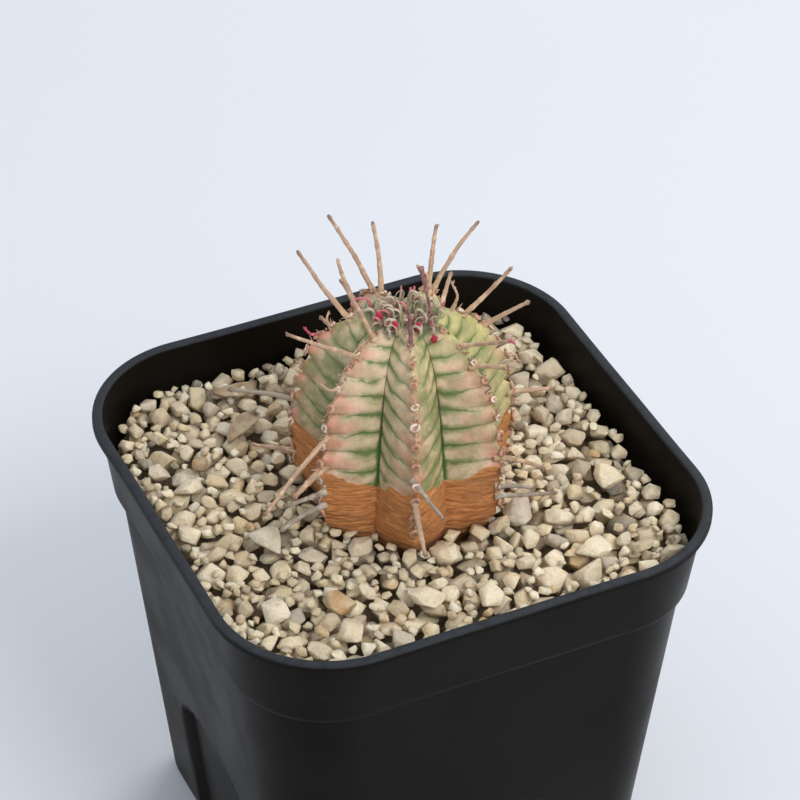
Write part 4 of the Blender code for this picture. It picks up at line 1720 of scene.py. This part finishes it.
@dataclass
class Stalks:
    """Dried flower stalks that stand out from the ribs, each where its CAD solid is."""

    count: int = 36
    grey: tuple = (16, 17, 18, 19, 20, 23)
    purple: tuple = (7, 12, 27)
    crimson: tuple = (30,)
    thick: tuple = (14, 21)
    hooked: tuple = (25, 27, 28, 29, 30, 31, 32)
    red_tipped: int = 11
    points: int = 44
    sides: int = 10
    foot_radius_mm: float = 0.50
    tip_radius_mm: float = 0.27
    root_mm: float = 1.1
    axis_mm: tuple = AXIS_MM

    def centre_line(self, name: str) -> list[Vector]:
        """Read a stalk's centre line off its CAD solid.

        Args:
            name: the CAD node.

        Returns:
            Its points from the stem outwards, in metres.
        """
        places = np.array([vert.co[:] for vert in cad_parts[name].data.vertices])
        middle = places.mean(0)
        heading = np.linalg.svd(places - middle, full_matrices=False)[2][0]
        along = (places - middle) @ heading
        share = (along - along.min()) / (along.max() - along.min())
        rings = np.round(share * 6)
        line = [Vector(places[rings == ring].mean(0)) for ring in range(7) if (rings == ring).any()]
        axis = Vector(self.axis_mm) * MM
        if (line[0].xy - axis).length > (line[-1].xy - axis).length:
            line.reverse()
        return line

    def tone(self, number: int) -> StalkTone:
        """Look up a stalk's colour family.

        Args:
            number: the stalk's number.

        Returns:
            Its family.
        """
        if number in self.grey:
            return StalkTone.GREY
        if number in self.crimson:
            return StalkTone.CRIMSON
        return StalkTone.PURPLE if number in self.purple else StalkTone.TAN

    def build(self, finishes: dict[StalkTone, Material]) -> None:
        """Build every stalk.

        Args:
            finishes: finish of each colour family.
        """
        for number in range(1, self.count + 1):
            source = random.Random(900 + number)
            name = f"spine_{number:02d}"
            line = self.centre_line(name)
            root = line[0] - (line[1] - line[0]).normalized() * self.root_mm * MM
            line = [root, *line]
            length = sum((b - a).length for a, b in zip(line, line[1:])) / MM
            path = []
            radii = []
            knobs = self.knobs(length, source)
            girth = (1.3 if number in self.thick else 1.0) * source.uniform(0.9, 1.06)
            girth *= 0.58 if number in self.hooked else 1.0
            girth *= 0.80 if number in self.purple else 1.0
            heading = (line[-1] - line[1]).normalized()
            hook = heading.cross(UP).normalized()
            hook = (hook * source.choice((-1.0, 1.0)) - heading * 0.8) * length * 0.30 * MM
            for step in range(self.points):
                share = step / (self.points - 1)
                point = Vector(curve_at(line, share))
                sway = noise.noise_vector(Vector((share * length / 3.5, number * 3.7, 0.0)))
                point += sway * 0.11 * MM * smooth_step(0.0, 0.3, share)
                if number in self.hooked:
                    point += hook * smooth_step(0.35, 1.25, share) * 2
                path.append(point)
                radius = self.foot_radius_mm + (self.tip_radius_mm - self.foot_radius_mm) * share
                radius += 0.30 * (1 - smooth_step(0.0, 1.6, share * length))
                for knob, height in knobs:
                    radius += height * math.exp(-((share * length - knob) / 0.30) ** 2)
                radius *= 1 + 0.10 * noise.noise(Vector((share * length * 1.7, number * 9.1, 4.0)))
                if share * length > length - 0.4:
                    radius *= 0.75
                radii.append(radius * girth * MM)
            bm = bmesh.new()
            tint = source.random()
            sweep(bm, path, radii, self.sides, 1.0, tint)
            self.add_bracts(bm, path, length, knobs, source, tint)
            bmesh.ops.recalc_face_normals(bm, faces=bm.faces)
            seat_piece(bm, f"stalk_{number:02d}", finishes[self.tone(number)], (name,))
            if number == self.red_tipped:
                self.build_red_tip(path, finishes[StalkTone.CRIMSON])

    def build_red_tip(self, path: Path, finish: Material) -> None:
        """Build the crimson shoot that bends down from a stalk's end.

        Args:
            path: the stalk's centre line.
            finish: its finish.
        """
        forward = (path[-1] - path[-4]).normalized()
        line = [path[-2] + (forward * 1.9 * share / 9 - UP * 0.9 * (share / 9) ** 2) * MM
                for share in range(10)]
        bm = bmesh.new()
        sweep(bm, line, [(0.40 - 0.028 * share) * MM for share in range(10)], 10, 1.0, 0.4)
        bmesh.ops.recalc_face_normals(bm, faces=bm.faces)
        seat_piece(bm, "red_shoot", finish)

    def knobs(self, length: float, source: random.Random) -> list[tuple[float, float]]:
        """Draw a stalk's knots.

        Args:
            length: the stalk's length in millimetres.
            source: stream of chance.

        Returns:
            Place along it and height of each knot, in millimetres.
        """
        result = []
        place = source.uniform(1.6, 3.2)
        while place < length - 0.5:
            result.append((place, source.uniform(0.03, 0.11)))
            place += source.uniform(1.5, 3.4)
        result.append((length - 0.5, source.uniform(0.06, 0.16)))
        return result

    def add_bracts(self, bm: BMesh, path: Path, length: float,
                   knobs: list[tuple[float, float]], source: random.Random, tint: float) -> None:
        """Add small dry scales that stand off the knots.

        Args:
            bm: mesh of the stalk.
            path: its centre line.
            length: its length in millimetres.
            knobs: its knots.
            source: stream of chance.
            tint: tone value for the material.
        """
        for knob, height in knobs:
            if source.random() < 0.35:
                continue
            place = min(knob / length, 1.0) * (len(path) - 1)
            index = min(int(place), len(path) - 2)
            start = path[index]
            forward = (path[index + 1] - path[index]).normalized()
            spin = Matrix.Rotation(source.uniform(0, 2 * math.pi), 3, forward)
            side = spin @ forward.orthogonal()
            reach = source.uniform(0.35, 0.8) * MM
            twig = [start + side.normalized() * 0.15 * MM]
            for step in range(1, 5):
                share = step / 4
                twig.append(start + side.normalized() * (0.15 * MM + reach * 0.62 * share)
                            + forward * reach * (share ** 1.5))
            widths = [0.15 * MM, 0.16 * MM, 0.14 * MM, 0.10 * MM, 0.04 * MM]
            sweep(bm, twig, widths, 6, 0.6, tint)


@dataclass
class Crown:
    """Curled dry remains, crimson buds and pink shoots on the stem's crown."""

    centre_mm: tuple[float, float] = AXIS_MM
    soil_mm: float = GRIT_TOP_MM
    dome: tuple = ((0.0, 37.9), (3.0, 38.6), (5.8, 37.9), (8.0, 36.5), (10.5, 34.8), (13.0, 32.6))
    curls: int = 62
    spread_mm: float = 5.4
    curl_steps: int = 24
    loop_from_tuft_mm: Triple = (-6.5, 3.8, -0.3)
    shoots: tuple = ((4.6, 6.8, 2.0), (6.6, 4.4, 1.6), (-3.2, 7.0, 1.3), (7.4, 1.6, 1.2),
                     (3.4, 5.6, 1.9))
    spare_bud_from_tuft_mm: Triple = (-4.6, 0.6, -1.3)

    def surface(self, x: float, y: float) -> Vector:
        """Point of the crown's surface over a place measured from the stem's middle.

        Args:
            x: distance across, in millimetres.
            y: distance along, in millimetres.

        Returns:
            The point in metres.
        """
        distances, heights = zip(*self.dome)
        height = float(np.interp(math.hypot(x, y), distances, heights))
        return Vector((self.centre_mm[0] + x, self.centre_mm[1] + y, self.soil_mm + height)) * MM

    def curl_path(self, source: random.Random, start: Vector, heading: float,
                  size: float) -> list[Vector]:
        """Centre line of one curl that rises, bends over and rolls in.

        Args:
            source: stream of chance.
            start: its foot.
            heading: direction that it bends to.
            size: radius of its roll in metres.

        Returns:
            The points of the line.
        """
        out = Vector((math.cos(heading), math.sin(heading), 0.0))
        side = Vector((-out.y, out.x, 0.0))
        turns = source.uniform(0.45, 1.15)
        stem = source.uniform(0.5, 1.9) * size
        lean = source.uniform(-0.6, 0.6)
        path = []
        for step in range(self.curl_steps):
            share = step / (self.curl_steps - 1)
            rise = stem * min(1.0, share * 3)
            rolled = max(0.0, share * 1.5 - 0.5)
            angle = turns * rolled * 2 * math.pi
            radius = size * (1 - 0.5 * rolled)
            point = start + UP * (rise + radius * math.sin(angle))
            point += out * (size * 0.2 * share + radius * (1 - math.cos(angle)))
            point += side * (lean * size * share)
            path.append(point)
        return path

    def build(self, curl: Material, pink: Material,
              crimson: Material) -> None:
        """Build the crown's pieces.

        Args:
            curl: dry curls' finish.
            pink: finish of the fresh pink shoots.
            crimson: buds' finish.
        """
        source = random.Random(31)
        dry = bmesh.new()
        fresh = bmesh.new()
        steps = self.curl_steps
        for number in range(self.curls):
            heading = number * 2.399963 + source.uniform(-0.4, 0.4)
            distance = math.sqrt((number + 0.5) / self.curls) * self.spread_mm
            start = self.surface(math.cos(heading) * distance, math.sin(heading) * distance)
            size = source.uniform(0.65, 1.25) * MM
            path = self.curl_path(source, start - UP * 0.3 * MM,
                                  heading + source.uniform(-1.6, 1.6), size)
            girth = source.uniform(0.22, 0.38) * MM
            radii = [girth * (1.2 - 0.75 * step / (steps - 1)) for step in range(steps)]
            mesh = fresh if number % 7 == 3 else dry
            sweep(mesh, path, radii, 7, source.uniform(0.35, 0.8), source.random())
        for x, y, length in self.shoots:
            start = self.surface(x, y)
            lean = Vector((x, y, 9.0)).normalized()
            path = [start + lean * (length * share / 11 - 0.3) * MM for share in range(12)]
            radii = [(0.58 - 0.28 * share / 11) * MM for share in range(12)]
            sweep(fresh, path, radii, 8, 0.6, source.random())
        loop = Vector(TUFT_MM) * MM + Vector(self.loop_from_tuft_mm) * MM
        ring = []
        for step in range(26):
            angle = step / 25 * 1.75 * math.pi - 0.6
            ring.append(loop + Vector((1.5 * math.cos(angle), -0.5 * math.cos(angle),
                                       0.95 * math.sin(angle))) * MM)
        sweep(fresh, ring, [0.22 * MM] * 26, 8, 0.8, 0.3)
        for bm, name, finish in ((dry, "crown_curls", curl), (fresh, "crown_shoots", pink)):
            bmesh.ops.recalc_face_normals(bm, faces=bm.faces)
            seat_piece(bm, name, finish, ("crown_tuft",) if bm is dry else ())
        for number in range(1, 4):
            low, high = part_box(f"bud_{number}")
            self.build_bud(number, (low + high) / 2, crimson, (f"bud_{number}",))
        spare = Vector(TUFT_MM) * MM + Vector(self.spare_bud_from_tuft_mm) * MM
        self.build_bud(4, spare, crimson, ())

    def build_bud(self, number: int, middle: Vector, crimson: Material,
                  nodes: Sequence[str]) -> None:
        """Build one bud: an egg with a small beak in a cup of scales.

        Args:
            number: its number.
            middle: its middle.
            crimson: its finish.
            nodes: CAD nodes that it stands for.
        """
        source = random.Random(60 + number)
        bm = bmesh.new()
        bmesh.ops.create_uvsphere(bm, u_segments=24, v_segments=16, radius=1.0)
        for vert in bm.verts:
            angle = math.atan2(vert.co.y, vert.co.x)
            lobes = 0.78 * (1 + 0.12 * math.cos(5 * angle + vert.co.z * 2))
            beak = max(0.0, vert.co.z - 0.5) * 0.8
            vert.co = Vector((vert.co.x * lobes, vert.co.y * lobes, vert.co.z * 1.25 + beak))
        for scale in range(6):
            angle = scale / 6 * 2 * math.pi
            out = Vector((math.cos(angle), math.sin(angle), 0.0))
            petal = [out * (0.55 + 0.35 * step / 5) + UP * (-1.2 + 1.25 * (step / 5) ** 1.4)
                     for step in range(6)]
            sweep(bm, petal, [0.24, 0.28, 0.27, 0.22, 0.15, 0.05], 6, 0.45, 0.5)
        away = middle.xy - Vector(self.centre_mm) * MM
        outward = Vector((away.x, away.y, 0.012)).normalized()
        turn = UP.rotation_difference(outward).to_matrix().to_4x4()
        size = Matrix.Scale(0.66 * MM * source.uniform(0.9, 1.1), 4)
        bmesh.ops.transform(bm, matrix=Matrix.Translation(middle) @ turn @ size, verts=bm.verts)
        bmesh.ops.recalc_face_normals(bm, faces=bm.faces)
        seat_piece(bm, f"crimson_bud_{number}", crimson, nodes)


@dataclass
class LeafFlakes:
    """Two dry curled leaf flakes on the stones."""

    thickness_mm: float = 0.22
    lift_mm: float = 2.6
    curl: tuple = (0.9, -0.7)

    def build(self, finish: Material) -> None:
        """Build both flakes.

        Args:
            finish: dry leaf.
        """
        for number, turn in ((1, 35.0), (2, -10.0)):
            low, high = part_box(f"leaf_flake_{number}")
            middle = (low + high) / 2
            bm = bmesh.new()
            bmesh.ops.create_grid(bm, x_segments=28, y_segments=12, size=1.0)
            length = 4.6 if number == 1 else 4.0
            for vert in bm.verts:
                along, across = vert.co.x, vert.co.y
                width = 1.75 * math.sqrt(max(0.0, 1 - along ** 2)) * (1 + 0.25 * along) + 0.02
                bend = self.curl[number - 1] * (1 - along ** 2) + 0.7 * across ** 2
                bend += 0.35 * noise.noise(Vector((along * 2.4, across * 1.6, number * 5.0)))
                vert.co = Vector((along * length, across * width, bend))
            bmesh.ops.solidify(bm, geom=bm.faces[:], thickness=self.thickness_mm)
            bmesh.ops.recalc_face_normals(bm, faces=bm.faces)
            place = Matrix.Translation(Vector((middle.x, middle.y, middle.z + self.lift_mm * MM)))
            place = place @ Matrix.Rotation(math.radians(turn), 4, "Z") @ Matrix.Scale(MM, 4)
            bmesh.ops.transform(bm, matrix=place, verts=bm.verts)
            seat_piece(bm, f"dry_leaf_{number}", finish, (f"leaf_flake_{number}",))


# ----------------------------------------------------------------------------------------------
# Stage


@dataclass
class Studio:
    """Plain pale floor, soft lights and the camera."""

    eye: Triple = (-0.1985, -0.4133, 0.4688)
    target: Triple = (0.00664, 0.01331, 0.0860)
    roll_degrees: float = 0.837
    lens_mm: float = 157.6
    floor_size: float = 6.0

    def build(self, floor_paint: Material) -> None:
        """Set the floor, the lights and the camera.

        Args:
            floor_paint: the floor's finish.
        """
        self.build_floor(floor_paint)
        self.build_sky()
        self.add_light("key_light", (0.20, -0.85, 1.05), 0.50, 9.0, (1.0, 0.965, 0.91))
        self.add_light("back_light", (0.70, 0.60, 0.95), 0.55, 5.0, (1.0, 0.98, 0.95))
        self.add_camera()
        bpy.context.scene.view_settings.view_transform = "Standard"

    def build_floor(self, paint: Material) -> None:
        """Make the floor a wide plane at the pot's foot.

        Args:
            paint: its finish.
        """
        bm = bmesh.new()
        bmesh.ops.create_grid(bm, x_segments=1, y_segments=1, size=self.floor_size / 2)
        floor = write_object(bm, "floor")
        floor.data.materials.append(paint)

    def build_sky(self) -> None:
        """Light the scene evenly from all round."""
        world = bpy.data.worlds.new("soft_sky")
        world.use_nodes = True
        background = world.node_tree.nodes["Background"]
        background.inputs["Color"].default_value = (0.90, 0.95, 1.0, 1.0)
        background.inputs["Strength"].default_value = 0.85
        bpy.context.scene.world = world

    def add_light(self, name: str, place: Triple, size: float, power: float,
                  colour: Colour) -> None:
        """Add a square area light that faces the object.

        Args:
            name: its name.
            place: its place in metres.
            size: its side in metres.
            power: its power in watts.
            colour: its colour.
        """
        data = bpy.data.lights.new(name, "AREA")
        data.size = size
        data.energy = power
        data.color = colour
        lamp = bpy.data.objects.new(name, data)
        lamp.location = place
        aim = Vector((0.0, 0.0, 0.08)) - Vector(place)
        lamp.rotation_euler = aim.to_track_quat("-Z", "Y").to_euler()
        bpy.context.scene.collection.objects.link(lamp)

    def add_camera(self) -> None:
        """Add the camera and make it the scene's own."""
        data = bpy.data.cameras.new("camera")
        data.lens = self.lens_mm
        data.sensor_width = 36.0
        data.clip_start = 0.01
        camera = bpy.data.objects.new("camera", data)
        forward = (Vector(self.target) - Vector(self.eye)).normalized()
        level_right = forward.cross(UP).normalized()
        level_up = level_right.cross(forward)
        roll = math.radians(self.roll_degrees)
        right = level_right * math.cos(roll) + level_up * math.sin(roll)
        upward = level_up * math.cos(roll) - level_right * math.sin(roll)
        turn = Matrix((right, upward, -forward)).transposed()
        camera.matrix_world = Matrix.Translation(self.eye) @ turn.to_4x4()
        bpy.context.scene.collection.objects.link(camera)
        bpy.context.scene.camera = camera


def main() -> None:
    """Build every piece in order, then the stage."""
    logging.basicConfig(level=logging.INFO, format="%(name)s: %(message)s")
    # Without a seed the vector noise follows the clock, and each run gives other shapes.
    noise.seed_set(NOISE_SEED)
    effects = Effects()
    plastic = BlackPlastic().build(effects)
    grit = QuartzGrit().build(effects)
    soil = SoftTissue(name="soil", roughness=0.9, first=(0.030, 0.020, 0.013),
                      second=(0.075, 0.050, 0.032), relief_mm=0.8).build(effects)
    core = SoftTissue(name="fine_grit", roughness=0.9, first=(0.17, 0.12, 0.070),
                      second=(0.34, 0.26, 0.165), relief_mm=0.8).build(effects)
    skin = VariegatedSkin().build(effects)
    scar = ScarFinish().build(effects)
    stalk_looks = {
        StalkTone.TAN: DryStalk(name="tan_stalk"),
        StalkTone.GREY: DryStalk(name="grey_stalk", foot=(0.44, 0.37, 0.30),
                                 middle=(0.34, 0.28, 0.225), end=(0.18, 0.13, 0.10)),
        StalkTone.PURPLE: DryStalk(name="purple_stalk", foot=(0.36, 0.17, 0.15),
                                   middle=(0.25, 0.11, 0.115), end=(0.14, 0.06, 0.07)),
        StalkTone.CRIMSON: DryStalk(name="crimson_stalk", roughness=0.5,
                                    foot=(0.55, 0.30, 0.24), middle=(0.50, 0.07, 0.12),
                                    end=(0.40, 0.02, 0.06)),
    }
    stalk_finishes = {tone: look.build(effects) for tone, look in stalk_looks.items()}
    curl = DryStalk(name="dry_curl", foot=(0.46, 0.34, 0.23), middle=(0.52, 0.42, 0.31),
                    end=(0.34, 0.23, 0.165)).build(effects)
    pink = DryStalk(name="pink_shoot", roughness=0.5, foot=(0.50, 0.20, 0.20),
                    middle=(0.54, 0.17, 0.19), end=(0.42, 0.08, 0.12)).build(effects)
    crimson = SoftTissue(name="crimson_bud", roughness=0.45).build(effects)
    crust = DryStalk(name="rib_crust", foot=(0.36, 0.17, 0.09), middle=(0.46, 0.30, 0.20),
                     end=(0.20, 0.085, 0.055)).build(effects)
    leaf = SoftTissue(name="dry_leaf", roughness=0.75, first=(0.34, 0.235, 0.145),
                      second=(0.50, 0.39, 0.26), relief_mm=0.2).build(effects)
    paint = FloorPaint().build(effects)
    pot = PotModel()
    pot.build(plastic)
    soil_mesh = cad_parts["potting_soil"].data
    soil_mesh.materials.clear()
    soil_mesh.materials.append(soil)
    GritBed(pot=pot).build(grit, core)
    stem = StemModel()
    stem.build(skin)
    stem.build_scars(scar, crust)
    Stalks().build(stalk_finishes)
    Crown().build(curl, pink, crimson)
    LeafFlakes().build(leaf)
    Studio().build(paint)


if __name__ == "__main__":
    main()
